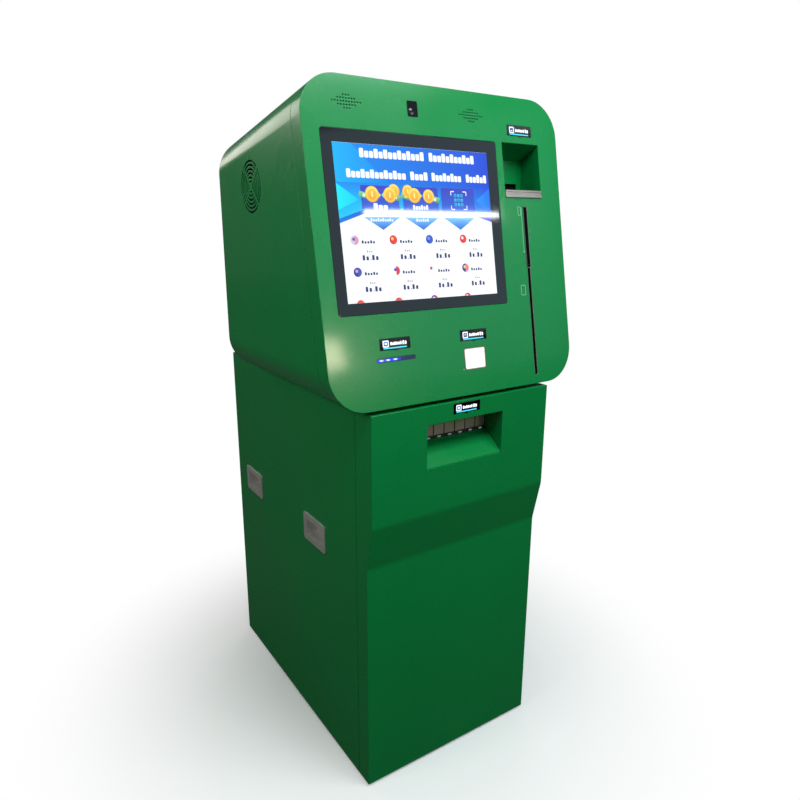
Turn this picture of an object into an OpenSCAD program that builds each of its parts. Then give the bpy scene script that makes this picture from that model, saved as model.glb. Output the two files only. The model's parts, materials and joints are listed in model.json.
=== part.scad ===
// Floor-standing currency exchange kiosk.
// The origin is on the floor, under the middle of the machine. +Z is up and the customer stands at -Y.
// place() measures y from the front face of the cabinet door and z from the bottom edge of the cabinet.
// in_head() is the leaning frame of the head: x across, y into the machine, z up along the leaning face.

/* [Cabinet] */
// Width of the cabinet
cab_w = 484; // [470:2:500]
// Depth of the cabinet, from the door's upper face to the rear face
cab_d = 774; // [760:2:800]
// Height of the cabinet above its bottom edge
cab_h = 904; // [900:1:920]
// Clear height between the floor and the cabinet's bottom edge
foot_h = 6; // [5:1:10]
// Thickness of the painted steel sheets
sheet = 2; // [1.5:0.5:2.5]
// Gap round the two front doors
seam = 1.5; // [1:0.5:2]

/* [Lower door] */
// Depth of the lower door's side flange at its top
door_d = 64.5; // [60:0.5:70]
// How far the lower part of the door is set back
knee_set = 22; // [16:1:28]
// Height at which the set-back begins
knee_top = 658; // [640:1:680]
// Height at which the set-back ends
knee_bottom = 556; // [540:1:600]

/* [Head] */
// Width of the head
head_w = 652; // [640:2:660]
// Height of the head along its leaning front
head_h = 640; // [636:1:650]
// Corner radius of the head's outline
head_r = 80; // [60:1:90]
// How far the front of the head leans back
tilt = 10.3; // [8:0.1:12]
// Depth of the head door's flange
head_door_d = 40; // [36:1:46]
// Distance from the cabinet's front to the head's back
head_back = 555; // [540:1:570]
// Gap between the cabinet and the head
neck_h = 6.4; // [5:0.1:8]

/* [Screen] */
// Width and height of the touch glass
glass_size = [427, 350]; // [400:1:430]
// Middle of the touch glass across the head and up its face
glass_at = [-76.5, 365]; // [-80:0.5:370]
// Width and height of the lit picture
picture_size = [376.3, 301.1]; // [300:0.1:380]

/* [Cash dispenser] */
// Half width of the cash recess in the lower door
pocket_x = 104.5; // [95:0.5:108]
// Depth of the cash recess
pocket_d = 59; // [56:1:59]
// How far the shutter lifts
shutter_lift = 30; // [20:1:32]
// Number of banknote cassettes is four; this is the height of one
cassette_h = 110; // [100:1:112]

/* [Hidden] */
$fn = 64;
rear_proud = 6;
all_d = cab_d + rear_proud;
half_w = cab_w / 2;
head_x = head_w / 2;
head_y = 2.2;
head_z = cab_h + neck_h;
gap = 0.3;
lock_r = 9.5;
hinge_in = 8;
hinge_fwd = 16;
pin_r = 4;
pin_clear = 0.06;
lower_pivot = [-half_w + hinge_in, door_d - hinge_fwd];
head_pivot = [-head_x + hinge_in, head_door_d - hinge_fwd];
column_x = 211;
fan_at = [357.3, 1342.4];
shutter_z = 812;
pocket_z = [762, 861];
pocket_back_z = [805, 837];
cassette_pitch = cassette_h + 8;
cassette_z = 72;
cassette_y = [130, 540];
transport_y = 112;
rear_axis = [207, cab_d + 3];
inlet_at = [-150, 0, 54];
switch_tilt = 7;
sign_size = [73, 23];
handle_z = 543.5;
handle_y = [269, 651];
handle_size = [113, 71];
cup_size = [83, 41];
cup_d = 28;
paper_r = 25;
platen_r = 6;
belt_r = 12;
receipt_at = [-169.5, 98];
scanner_at = [32.3, 78];
green = [0.05, 0.50, 0.25];
steel = [0.72, 0.70, 0.66];
zinc = [0.62, 0.64, 0.66];
black = [0.08, 0.08, 0.10];

// ---------- frames and small helpers ----------
module place() translate([0, -all_d / 2, foot_h]) children();
module in_head() place() translate([0, head_y, head_z]) rotate([-tilt, 0, 0]) children();
module box(x, y, z) translate([x[0], y[0], z[0]]) cube([x[1] - x[0], y[1] - y[0], z[1] - z[0]]);
// extrude an outline drawn in x and z from y0 to y1
module slab(y0, y1) translate([0, y1, 0]) rotate([90, 0, 0]) linear_extrude(y1 - y0) children();
// extrude an outline drawn in y and z from x0 to x1
module cross(x0, x1) translate([x0, 0, 0]) rotate([90, 0, 90]) linear_extrude(x1 - x0) children();
module rod_x(x0, x1, at, r) translate([x0, at[0], at[1]]) rotate([0, 90, 0]) cylinder(h = x1 - x0, r = r);
module rod_y(y0, y1, at, r) translate([at[0], y1, at[1]]) rotate([90, 0, 0]) cylinder(h = y1 - y0, r = r);
module rounded(size, r) {
    square([size[0] - 2 * r, size[1]], center = true);
    square([size[0], size[1] - 2 * r], center = true);
    for (i = [-1, 1], k = [-1, 1])
        translate([i * (size[0] / 2 - r), k * (size[1] / 2 - r)]) circle(r);
}

// ---------- outline of the head ----------
module round_top(w, low, high, r) {
    translate([-w, low]) square([2 * w, high - low - r]);
    translate([-w + r, low]) square([2 * (w - r), high - low]);
    for (i = [-1, 1]) translate([i * (w - r), high - r]) circle(r, $fn = 96);
}
// the head's solid form, shrunk by inset: round top corners run square to the leaning face,
// and round bottom corners run level to the back
module head_form(inset, n0, y1) intersection() {
    in_head() slab(n0, 700) round_top(head_x - inset, -100, head_h - inset, head_r - inset);
    place() slab(-200, y1) translate([0, head_z + head_h]) mirror([0, 1])
        round_top(head_x - inset, -100, head_h - inset, head_r - inset);
}

// ---------- cabinet body ----------
module base_frame() color(black) place() difference() {
    box([-238, 238], [70, 768], [4, 30]);
    box([-198, 198], [110, 728], [0, 40]);
    for (x = [-1, 1], y = [90, 748]) translate([x * 218, y, 0]) cylinder(h = 60, r = 6.3);
}
module levelling_feet() color(black) place() for (x = [-1, 1], y = [90, 748])
    translate([x * 218, y, -foot_h]) {
        cylinder(h = 8, r = 17);
        cylinder(h = 34, r = 6.2);
    }
module base_plate() color(zinc) place() difference() {
    box([-240 + gap, 240 - gap], [68, 769], [30, 33]);
    for (x = [-170, 170], y = [160, 680]) translate([x, y, 0]) cylinder(h = 60, r = 7);
    translate([0, 640, 0]) cylinder(h = 60, r = 25);
}
module side_panel() difference() {
    union() {
        box([half_w - sheet, half_w], [door_d + seam, cab_d], [0, cab_h - sheet]);
        box([half_w - 20, half_w - sheet], [cab_d - sheet, cab_d], [0, cab_h - sheet]);
        box([half_w - 20, half_w - sheet], [110, 700], [33, 35]);
        box([half_w - 20, half_w - sheet], [110, 700], [cab_h - 2 * sheet, cab_h - sheet]);
    }
    for (y = handle_y) translate([0, y, handle_z])
        cross(half_w - 10, half_w + 10) rounded(cup_size + [5, 5], 5);
}
module left_side_panel() color(green) place() mirror([1, 0, 0]) side_panel();
module right_side_panel() color(green) place() difference() {
    side_panel();
    rod_x(half_w - 10, half_w + 10, [100, 480], lock_r + 0.1);
}
module cabinet_top_plate() color(green) place() difference() {
    box([-half_w, half_w], [door_d + seam, cab_d], [cab_h - sheet, cab_h]);
    box([-120, 120], [200, 460], [cab_h - 10, cab_h + 10]);
    // the door's rear corner swings past this edge
    translate([lower_pivot[0], lower_pivot[1], cab_h - 10])
        cylinder(h = 20, r = norm([hinge_in, hinge_fwd]) + gap);
}
module front_frame() color(black) place() difference() {
    union() {
        for (i = [-1, 1]) {
            box([i * 239 - 1, i * 239 + 1], [72, 100], [36, cab_h - 4]);
            box([i * 222 - 18, i * 222 + 18], [72, 74], [36, cab_h - 4]);
        }
        box([-205, 205], [72, 74], [36, 60]);
        box([-205, 205], [72, 74], [cab_h - 28, cab_h - 4]);
    }
    box([215, 241], [60, 112], [432, 494]);
}
module rear_frame() color(green) place() difference() {
    union() {
        box([-half_w + 20, half_w - 20], [cab_d - sheet, cab_d], [0, cab_h - sheet]);
        box([-208.5, 208.5], [cab_d - 22, cab_d - sheet], [82, 862]);
    }
    box([-206.5, 206.5], [cab_d - 40, cab_d + 5], [84, 860]);
    translate(inlet_at) slab(cab_d - 10, cab_d + 10) square([48, 28], center = true);
}
module pull_handle_cups() color(steel) place() for (i = [-1, 1], y = handle_y)
    translate([i * half_w, y, handle_z]) mirror([i < 0 ? 1 : 0, 0, 0]) {
        cross(0, 2.5) difference() {
            rounded(handle_size, 6);
            rounded(cup_size, 3);
        }
        difference() {
            cross(-cup_d - 1.5, 0) rounded(cup_size + [3, 3], 4.5);
            cross(-cup_d, 1) rounded(cup_size, 3);
        }
    }

// ---------- swan-neck hinges and cam locks of the two front doors ----------
// an arm reaches forward from the frame and carries the pin inside the door, at the given pivot
module hinge_arm(pivot, frame_y) {
    translate([pivot[0], pivot[1], 0]) cylinder(h = 6, r = 5.5);
    box([pivot[0], pivot[0] + 28], [pivot[1] - 3, pivot[1] + 4], [0, 6]);
    box([pivot[0] + 20, pivot[0] + 28], [pivot[1], frame_y], [0, 6]);
    translate([pivot[0], pivot[1], -9]) cylinder(h = 24, r = pin_r);
}
// two plates on the door's flange turn on the pin, one above the arm and one below it
module hinge_lug(pivot) for (z = [-5, 6.5]) translate([0, 0, z]) difference() {
    box([pivot[0] - 6, pivot[0] + 8], [pivot[1] - 14, pivot[1] + 9], [0, 4.5]);
    translate([pivot[0], pivot[1], -1]) cylinder(h = 10, r = pin_r + pin_clear);
}
lower_hinge_z = [120, 470, 780];
head_hinge_z = [110, 320, 525];
module lower_hinge_arms() color(zinc) place()
    for (z = lower_hinge_z) translate([0, 0, z]) hinge_arm(lower_pivot, 72);
module head_hinge_arms() color(zinc) in_head()
    for (z = head_hinge_z) translate([0, 0, z]) hinge_arm(head_pivot, 48);
// a cam lock through a wall whose outer face is at x = 0; its barrel reaches deep into the room
module cam_lock(proud, deep) difference() {
    union() {
        rod_x(-deep, proud, [0, 0], lock_r);
        rod_x(-deep - 2.5, -deep, [0, 0], 6);
    }
    box([proud - 2, proud + 1], [-0.8, 0.8], [-3.5, 3.5]);
}
module lock_cam(deep) {
    rod_x(-deep - 5.8, -deep - 2.8, [0, 0], 8);
    box([-deep - 5.8, -deep - 2.8], [0, 32], [-6, 6]);
}
// a tongue on the door ends in a lip, and the turned cam holds the lip from in front
module catch_tongue() {
    box([-9.5, -7.5], [-45, 10], [-38, -22]);
    box([-20, -7.5], [8, 10], [-38, -22]);
    box([-9.5, -sheet], [-45, -43], [-38, -22]);
}
side_lock = [half_w, 100, 480];
head_lock = [head_x, 75, 300];
rear_lock = [-180, cab_d, 460];
module lower_lock_cam() color(zinc) place() translate(side_lock) mirror([0, 1, 0]) lock_cam(10);
module side_door_locks() color(steel) {
    place() translate(side_lock) cam_lock(2.5, 10);
    in_head() translate(head_lock) cam_lock(0, 10);
}
module head_lock_cam() color(zinc) in_head() translate(head_lock) mirror([0, 1, 0]) lock_cam(10);
module lower_door_brackets() color(zinc) place() {
    for (z = lower_hinge_z) translate([0, 0, z]) hinge_lug(lower_pivot);
    translate(side_lock) catch_tongue();
}
module head_door_brackets() color(zinc) in_head() {
    for (z = head_hinge_z) translate([0, 0, z]) hinge_lug(head_pivot);
    translate(head_lock) catch_tongue();
}

// ---------- lower door ----------
knee_slope = atan(knee_set / (knee_top - knee_bottom));
// points of a bend of radius r whose arc turns between the upright face and the slope
function bend(y, z, r, turn, steps) = [for (i = [0:steps]) let (a = knee_slope * i / steps)
    [y + turn * r * (1 - cos(a)) , z - r * (sin(a) - tan(knee_slope / 2))]];
function knee_line(back) = let (
    top = bend(back, knee_top, 60, 1, 6),
    low = bend(0, 0, 60, 1, 6),
    low_up = [for (i = [6:-1:0]) [knee_set + back - low[i][0], knee_bottom - low[i][1]]])
    concat([[back, cab_h - seam]], top, low_up, [[knee_set + back, 0]]);
module door_side(back, low, high) intersection() {
    polygon(concat(knee_line(back), [[door_d, 0], [door_d, cab_h - seam]]));
    translate([0, low]) square([door_d, high - low]);
}
module lower_door_panel() color(green) place() difference() {
    cross(-half_w, half_w) door_side(0, 0, cab_h - seam);
    cross(-half_w + sheet, half_w - sheet) intersection() {
        polygon(concat(knee_line(sheet), [[door_d + 5, 0], [door_d + 5, cab_h - seam]]));
        translate([0, sheet]) square([200, cab_h - seam - 2 * sheet]);
    }
    box([-pocket_x, pocket_x], [-5, 10], pocket_z);
    sign_hole([0, 885.5], gap);
}
// the cash recess in outline: its floor rises and its ceiling drops towards the shutter
function wall_z(low, t) = low ? pocket_z[0] + (pocket_back_z[0] - pocket_z[0]) * t
                              : pocket_z[1] + (pocket_back_z[1] - pocket_z[1]) * t;
module pocket_outline(y0, grow) polygon([[y0, wall_z(true, y0 / pocket_d) - grow],
    [y0, wall_z(false, y0 / pocket_d) + grow], [pocket_d, pocket_back_z[1] + grow],
    [pocket_d, pocket_back_z[0] - grow]]);
module dispenser_hood() color(green) place() difference() {
    cross(-pocket_x - 1.5, pocket_x + 1.5) pocket_outline(sheet, 1.6);
    cross(-pocket_x, pocket_x) polygon([[sheet - 1, wall_z(true, sheet / pocket_d)],
        [sheet - 1, wall_z(false, sheet / pocket_d)], [sheet, wall_z(false, sheet / pocket_d)],
        [pocket_d, pocket_back_z[1]], [pocket_d + 1, pocket_back_z[1]],
        [pocket_d + 1, pocket_back_z[0]], [pocket_d, pocket_back_z[0]],
        [sheet, wall_z(true, sheet / pocket_d)]]);
}
module shutter_guides() color(zinc) place() for (i = [-1, 1]) mirror([i < 0 ? 1 : 0, 0, 0]) difference() {
    box([106.3, 114], [58.4, 64.2], [802, 852 + shutter_lift]);
    box([106, 109], [60.2, 62.8], [800, 854 + shutter_lift]);
}
module dispenser_shutter() color(steel) place() {
    box([-108.6, 108.6], [60.4, 62.6], [shutter_z + gap, 846]);
    for (i = [-3:3]) {
        box([i * 29.8 - 14.2, i * 29.8 + 14.2], [59.7, 60.4], [shutter_z + 2, 838]);
        box([i * 29.8 - 14.2, i * 29.8 + 14.2], [59.4, 60.4], [836, 838]);
    }
}
module shutter_seal() color(black) place() {
    box([-106, 106], [59.4, 63.4], [803.5, shutter_z]);
    for (i = [-3:3]) rod_x(i * 29.8 - 8, i * 29.8 + 8, [60, 808], 2.2);
}
module sign_outline(grow) {
    rounded([sign_size[0] + 2 * grow, sign_size[1] + 2 * grow], 2);
    polygon([[-7, -sign_size[1] / 2 + 1], [7, -sign_size[1] / 2 + 1], [0, -sign_size[1] / 2 - 3.5 - grow]]);
}
module sign_hole(at, grow) translate([at[0], 0, at[1]]) slab(-5, 12) sign_outline(grow);
module sign_box(at) translate([at[0], 0, at[1]]) {
    slab(0, 3) sign_outline(0);
    slab(3, 13) square([sign_size[0] + 8, sign_size[1] + 4], center = true);
}
module dispenser_sign() color(black) place() sign_box([0, 885.5]);

// ---------- rear door ----------
rear_hinge_z = [140, 460, 780];
leaf_t = 1.6;
module knuckle(z0, z1) translate([rear_axis[0], rear_axis[1], z0]) cylinder(h = z1 - z0, r = 3);
module rear_door_panel() color(green) place() {
    difference() {
        box([-204.5, 204.5], [cab_d - 20, cab_d], [86, 858]);
        box([-202.5, 202.5], [cab_d - 30, cab_d - sheet], [88, 856]);
        for (x = [-95, 95], k = [0:9], z = [150, 690]) translate([x, 0, z + 11 * k])
            slab(cab_d - 10, cab_d + 10) rounded([130, 4], 1.9);
        rod_y(cab_d - 10, cab_d + 10, [rear_lock[0], rear_lock[2]], lock_r + 0.1);
    }
    for (z = rear_hinge_z) translate([0, 0, z]) difference() {
        union() {
            box([rear_axis[0] - 21, rear_axis[0] - 3.5], [cab_d, cab_d + leaf_t], [-30, 30]);
            box([rear_axis[0] - 4, rear_axis[0]], [cab_d, cab_d + leaf_t], [-9.7, 9.7]);
            knuckle(-9.7, 9.7);
        }
        translate([rear_axis[0], rear_axis[1], -15]) cylinder(h = 30, r = 1.5 + pin_clear);
    }
}
module rear_door_hinges() color(zinc) place() for (z = rear_hinge_z) translate([0, 0, z]) {
    box([rear_axis[0] + 3, rear_axis[0] + 20], [cab_d, cab_d + leaf_t], [-30, 30]);
    for (k = [-1, 1]) translate([0, 0, k * 20]) {
        box([rear_axis[0], rear_axis[0] + 4], [cab_d, cab_d + leaf_t], [-10, 10]);
        knuckle(-10, 10);
    }
    translate([rear_axis[0], rear_axis[1], -30]) cylinder(h = 60, r = 1.5);
}
module rear_door_lock() color(steel) place() translate(rear_lock) rotate([0, 0, 90]) cam_lock(3, 22);
module rear_lock_cam() color(zinc) place() translate(rear_lock) rotate([0, 0, 90])
    rotate([90, 0, 0]) lock_cam(22);

// ---------- cash dispenser ----------
module dispenser_frame() color(zinc) place() {
    for (i = [-1, 1]) {
        box([i * 118.5 - 1.5, i * 118.5 + 1.5], [96, 560], [33, 796]);
        for (k = [0:3]) box([i * 108.5 - 8.5, i * 108.5 + 8.5], [130, 560],
            [cassette_z + k * cassette_pitch - 3, cassette_z + k * cassette_pitch - 0.4]);
    }
    box([-118, 118], [132, 560], [777, 780]);
    box([-118, 118], [556, 560], [560, 600]);
    for (z = [60, 780]) rod_x(-118, 118, [transport_y, z], 4);
}
module cassette(k) color([0.25, 0.27, 0.30]) place() translate([0, 0, cassette_z + k * cassette_pitch]) {
    difference() {
        box([-107, 107], cassette_y, [0, cassette_h]);
        box([-60, 60], [cassette_y[1] - 22, cassette_y[1] + 1], [30, 80]);
        box([-85, 85], [cassette_y[0] - 1, cassette_y[0] + 3], [40, 70]);
    }
    rod_x(-61, 61, [cassette_y[1] - 8, 62], 6);
    rod_y(cassette_y[1], cassette_y[1] + 3, [86, 55], 8);
}
module cassette_1() cassette(0);
module cassette_2() cassette(1);
module cassette_3() cassette(2);
module cassette_4() cassette(3);
module transport_roller(z) place() translate([0, transport_y, z]) difference() {
    union() {
        rod_x(-112, 112, [0, 0], 6.5);
        for (x = [-60, 0, 60]) rod_x(x - 11, x + 11, [0, 0], belt_r);
    }
    rod_x(-120, 120, [0, 0], 4 + pin_clear);
}
module transport_drive_roller() color(steel) transport_roller(60);
module transport_idler_roller() color(steel) transport_roller(780);
module transport_belts() color(black) place() for (x = [-60, 0, 60]) cross(x - 9, x + 9) difference() {
    union() {
        for (z = [60, 780]) translate([transport_y, z]) circle(belt_r + 1.8);
        translate([transport_y - belt_r - 1.8, 60]) square([2 * belt_r + 3.6, 720]);
    }
    union() {
        for (z = [60, 780]) translate([transport_y, z]) circle(belt_r + gap);
        translate([transport_y - belt_r - gap, 60]) square([2 * (belt_r + gap), 720]);
    }
}
module note_throat() color(black) place() difference() {
    union() {
        box([-104, 104], [66, 97], [800, 850]);
        box([-120, 120], [96, 130], [796, 850]);
    }
    box([-100, 100], [60, 124], [814, 838]);
    box([-100, 100], [99, 124], [790, 820]);
}

// ---------- electrics in the cabinet ----------
module power_supply() color(zinc) place() box([-236, -136], [240, 460], [36, 96]);
module power_inlet() color(black) place() translate(inlet_at) {
    slab(cab_d, cab_d + 2.5) difference() {
        rounded([58, 32], 3);
        translate([-8, 0]) square([24, 17], center = true);
        translate([15, 0]) square([13, 20], center = true);
    }
    difference() {
        slab(cab_d - 28, cab_d) square([47, 27], center = true);
        translate([-8, 0]) slab(cab_d - 20, cab_d + 5) square([24, 17], center = true);
        translate([15, 0]) slab(cab_d - 12, cab_d + 5) square([13, 20], center = true);
    }
    for (x = [-13, -8, -3]) box([x - 1, x + 1], [cab_d - 21, cab_d - 4], [-3, 3]);
}
// a rocker with a hollow face, pressed in at one end
module power_switch() color(black) place() translate(inlet_at + [15, cab_d - 4, 0])
    rotate([-switch_tilt, 0, 0]) cross(-6, 6)
        polygon([[-6, -6.5], [0, -9.2], [3.5, -8.2], [1.6, 0], [3.5, 8.2], [0, 9.2], [-6, 6.5]]);

// ---------- head ----------
module neck_frame() color(black) place() difference() {
    box([-205, 205], [82, 540], [cab_h, head_z]);
    box([-165, 165], [122, 500], [cab_h - 1, head_z + 1]);
}
module vent_rings() for (k = [0:5]) difference() {
    rod_x(-20, 20, [0, 0], 13 + 8.4 * k);
    rod_x(-21, 21, [0, 0], 9 + 8.4 * k);
    for (a = [45, -45]) rotate([a, 0, 0]) box([-22, 22], [-2.5, 2.5], [-70, 70]);
}
module head_shell() color(green) difference() {
    head_form(0, head_door_d + seam, head_back);
    head_form(sheet, head_door_d - 10, head_back - 2 * sheet);
    head_form(22, 60, head_back + 10);
    intersection() {
        head_form(sheet, 60, head_back + 10);
        place() box([-400, 400], [head_back - sheet, head_back + 20], [800, 1700]);
    }
    place() translate([-head_x, fan_at[0], fan_at[1]]) vent_rings();
    place() box([-120, 120], [200, 460], [head_z - 5, head_z + 5]);
    in_head() rod_x(head_x - 10, head_x + 10, [head_lock[1], head_lock[2]], lock_r + 0.1);
}
module head_front_frame() color(black) difference() {
    intersection() {
        head_form(sheet + gap, 0, head_back);
        in_head() box([-400, 400], [48, 50], [-100, 700]);
    }
    in_head() translate([0, 0, head_h / 2 + 6]) slab(30, 60) rounded([570, 582], 50);
    in_head() box([280, 322.5], [30, 60], [256, 309]);
}
module head_back_panel() color(green) difference() {
    intersection() {
        head_form(sheet + gap, 60, head_back);
        place() box([-400, 400], [head_back - sheet, head_back + 1], [800, 1700]);
    }
    for (x = [-110, 110], k = [0:11]) place() translate([x, 0, 1280 + 11 * k])
        slab(head_back - 10, head_back + 10) rounded([150, 4], 1.9);
}
screw_at = [[-300, 1020], [-300, 1220], [-300, 1400], [300, 1020], [300, 1220], [300, 1400],
    [-180, 932], [0, 932], [180, 932], [-180, 1432], [0, 1432], [180, 1432]];
module back_panel_screws() color(zinc) place() for (p = screw_at) difference() {
    rod_y(head_back, head_back + 2.2, p, 4.5);
    translate([p[0], 0, p[1]]) slab(head_back + 1, head_back + 3) circle(2, $fn = 6);
}
module fan_frame() color(black) place() translate([-head_x + sheet, fan_at[0], fan_at[1]]) difference() {
    union() {
        cross(0.5, 25.5) difference() {
            rounded([120, 120], 6);
            circle(57.5);
        }
        rod_x(19, 25.5, [0, 0], 20);
        for (a = [0, 90, 180, 270]) rotate([a + 30, 0, 0]) box([21, 25], [-3, 3], [18, 58.5]);
    }
    for (y = [-1, 1], z = [-1, 1]) rod_x(-1, 30, [y * 52.5, z * 52.5], 2.2);
}
module fan_rotor() color(black) place() translate([-head_x + sheet, fan_at[0], fan_at[1]]) {
    rod_x(3, 18, [0, 0], 19.5);
    intersection() {
        for (a = [0:360 / 7:359]) rotate([a, 0, 0]) translate([10.5, 0, 0]) rotate([0, 0, 38])
            box([-8.5, 8.5], [-1, 1], [17, 60]);
        rod_x(3, 18, [0, 0], 56);
    }
}
module computer_case() color(zinc) place() {
    box([-10, 250], [300, 500], [head_z + 4, head_z + 60]);
    for (k = [0:15]) box([k * 16, k * 16 + 4], [300, 500], [head_z + 60, head_z + 74]);
}

// ---------- head door ----------
grille_rows = [[-2, 3], [-1, 7], [0, 11], [1, 7], [2, 3]];
speaker_x = [-227, 74];
module grille(x) translate([x, 0, 590]) for (row = grille_rows, k = [0:row[1] - 1])
    translate([(k - (row[1] - 1) / 2) * 6.1, 0, row[0] * 6]) rod_y(-3, 5, [0, 0], 1.7);
module head_door_panel() color(green) difference() {
    intersection() {
        head_form(0, 0, head_back);
        in_head() box([-400, 400], [-1, head_door_d], [-100, 700]);
    }
    head_form(sheet, sheet, head_back);
    in_head() {
        translate([glass_at[0], 0, glass_at[1]]) slab(-5, 10) rounded(glass_size + [1.2, 1.2], 6);
        translate([-76, 0, 590]) slab(-5, 10) rounded([25.4, 31.4], 3);
        for (x = speaker_x) grille(x);
        box([column_x - 54.75, column_x + 54.75], [-5, 10], [422, 541]);
        sign_hole([column_x, 568], 0.3);
        sign_hole([receipt_at[0], 128.7], 0.3);
        sign_hole([scanner_at[0], 128.7], 0.3);
        translate([column_x, 0, 334.5]) slab(-5, 10) rounded([12.8, 137.4], 1);
        translate([column_x, 0, 147]) slab(-5, 10) rounded([7.4, 253], 3.6);
        translate([receipt_at[0], 0, receipt_at[1]]) slab(-5, 10) rounded([92.4, 8.8], 1.5);
        translate([scanner_at[0], 0, scanner_at[1]]) slab(-5, 10) rounded([59.4, 47.6], 4);
        rod_y(-5, 10, [-1.1, 56.7], 2);
    }
}
module touch_glass() color(black) in_head() translate([glass_at[0], 0, glass_at[1]])
    slab(0, 5) rounded(glass_size, 5.4);
module display_module() color(zinc) in_head() translate([-79, 0, 364]) {
    slab(5.2, 12) square(picture_size + [20, 23], center = true);
    slab(12, 40) rounded([404, 332], 4);
    for (x = [-206, 206], z = [-120, 0, 120]) box([x - 6, x + 6], [5.2, 14], [z - 12, z + 12]);
}
module camera_module() color(black) in_head() translate([-76, 0, 590]) {
    slab(0.3, 3) rounded([25, 31], 2.8);
    slab(3, 22) square([32, 38], center = true);
    rod_y(22, 34, [0, 0], 5);
}
module speakers() color(black) in_head() for (x = speaker_x) translate([x, 0, 590]) {
    slab(2.2, 6) rounded([84, 46], 8);
    slab(6, 26) rounded([64, 36], 10);
    rod_y(26, 36, [0, 0], 14);
}
id_x = [column_x - 54.75, column_x + 54.75];
id_floor = 438.7;
module id_scanner_pocket() color(green) in_head() difference() {
    cross(id_x[0] - 1.5, id_x[1] + 1.5) polygon([[sheet, id_floor - 1.6], [sheet, 542.5], [56, 519.7],
        [67.8, 456], [67.8, id_floor - 1.6]]);
    cross(id_x[0], id_x[1]) polygon([[0, id_floor], [0, 541], [sheet, 540.2], [55, 517.7],
        [66, 456], [66, id_floor]]);
    box([id_x[0] + 8, id_x[1] - 8], [8, 60], [430, 445]);
    box([id_x[0], id_x[1] - 14], [60, 72], [440, 468]);
    rod_y(10, 52, [column_x - 30, 527], 2);
}
module id_scanner_lip() color(steel) in_head() {
    box([id_x[0] + gap, id_x[1] - gap], [-1.5, 1.9], [422.3, 438.5]);
    for (v = [422.3, 434.5]) box([id_x[0] + gap, id_x[1] - gap], [-2.6, -1.5], [v, v + 4]);
}
module id_scanner_unit() color(black) in_head() {
    box([id_x[0] - 4, id_x[1] + 4], [2.2, 110], [408, 437]);
    box([id_x[0] - 4, id_x[1] + 4], [70.3, 110], [437, 520]);
    box([id_x[0] + 8.5, id_x[1] - 8.5], [8.5, 59.5], [437, id_floor]);
}
module head_signs() color(black) in_head() {
    sign_box([column_x, 568]);
    sign_box([receipt_at[0], 128.7]);
    sign_box([scanner_at[0], 128.7]);
}
module swipe_reader() color(black) in_head() difference() {
    union() {
        translate([column_x, 0, 334.5]) slab(-0.6, 4) rounded([12.4, 137], 0.9);
        translate([column_x, 0, 147]) slab(0.4, 4) rounded([7, 252.6], 3.4);
        box([column_x - 16, column_x + 16], [2.2, 34], [18, 405]);
    }
    box([column_x - 1, column_x + 1], [-5, 14], [28, 410]);
    cross(column_x - 4, column_x + 4) polygon([[-2, 406], [3, 406], [-2, 396]]);
}
module barcode_scanner() color(black) in_head() {
    translate([scanner_at[0], 0, scanner_at[1]]) {
        slab(0.2, 2.6) rounded([59, 47.2], 3.8);
        slab(2.6, 8) rounded([66, 54], 4);
        slab(8, 64) rounded([52, 44], 6);
    }
    rod_y(0.2, 4, [-1.1, 56.7], 1.8);
}
module receipt_printer() color(black) in_head() translate([receipt_at[0], 0, receipt_at[1]]) difference() {
    union() {
        slab(0.2, 6) rounded([92, 8.4], 1.4);
        box([-50, 50], [2.2, 20], [-30, 12]);
        box([-50, -44], [20, 126], [-58, 12]);
        box([44, 50], [20, 126], [-58, 12]);
        box([-44, 44], [20, 60], [-30, -12]);
        box([-44, 44], [20, 126], [-58, -55]);
    }
    slab(-1, 12) square([84, 3], center = true);
    box([-42, 42], [10, 30], [-8, 8]);
    rod_x(-60, 60, [96, -26], 4 + pin_clear);
    rod_x(-60, 60, [38, -2], 2.5 + pin_clear);
}
module paper_roll() color("white") in_head() translate([receipt_at[0], 96, receipt_at[1] - 26]) {
    rod_x(-40, 40, [0, 0], paper_r);
    rod_x(-49, 49, [0, 0], 4);
}
module platen_roller() color(black) in_head() translate([receipt_at[0], 38, receipt_at[1] - 2]) {
    rod_x(-41, 41, [0, 0], platen_r);
    rod_x(-49, 49, [0, 0], 2.5);
}

base_frame();
levelling_feet();
base_plate();
left_side_panel();
right_side_panel();
cabinet_top_plate();
front_frame();
rear_frame();
pull_handle_cups();
lower_hinge_arms();
side_door_locks();
lower_lock_cam();
lower_door_panel();
lower_door_brackets();
dispenser_hood();
shutter_guides();
dispenser_shutter();
shutter_seal();
dispenser_sign();
rear_door_panel();
rear_door_hinges();
rear_door_lock();
rear_lock_cam();
dispenser_frame();
note_throat();
transport_belts();
transport_drive_roller();
transport_idler_roller();
cassette_1();
cassette_2();
cassette_3();
cassette_4();
power_supply();
power_inlet();
power_switch();
neck_frame();
head_shell();
head_front_frame();
head_back_panel();
back_panel_screws();
fan_frame();
fan_rotor();
computer_case();
head_hinge_arms();
head_lock_cam();
head_door_panel();
head_door_brackets();
touch_glass();
display_module();
camera_module();
speakers();
id_scanner_pocket();
id_scanner_lip();
id_scanner_unit();
head_signs();
swipe_reader();
barcode_scanner();
receipt_printer();
paper_roll();
platen_roller();
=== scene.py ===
import json
import math

import bmesh
import bpy
import numpy as np
from mathutils import Matrix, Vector
from mathutils.geometry import delaunay_2d_cdt


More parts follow.
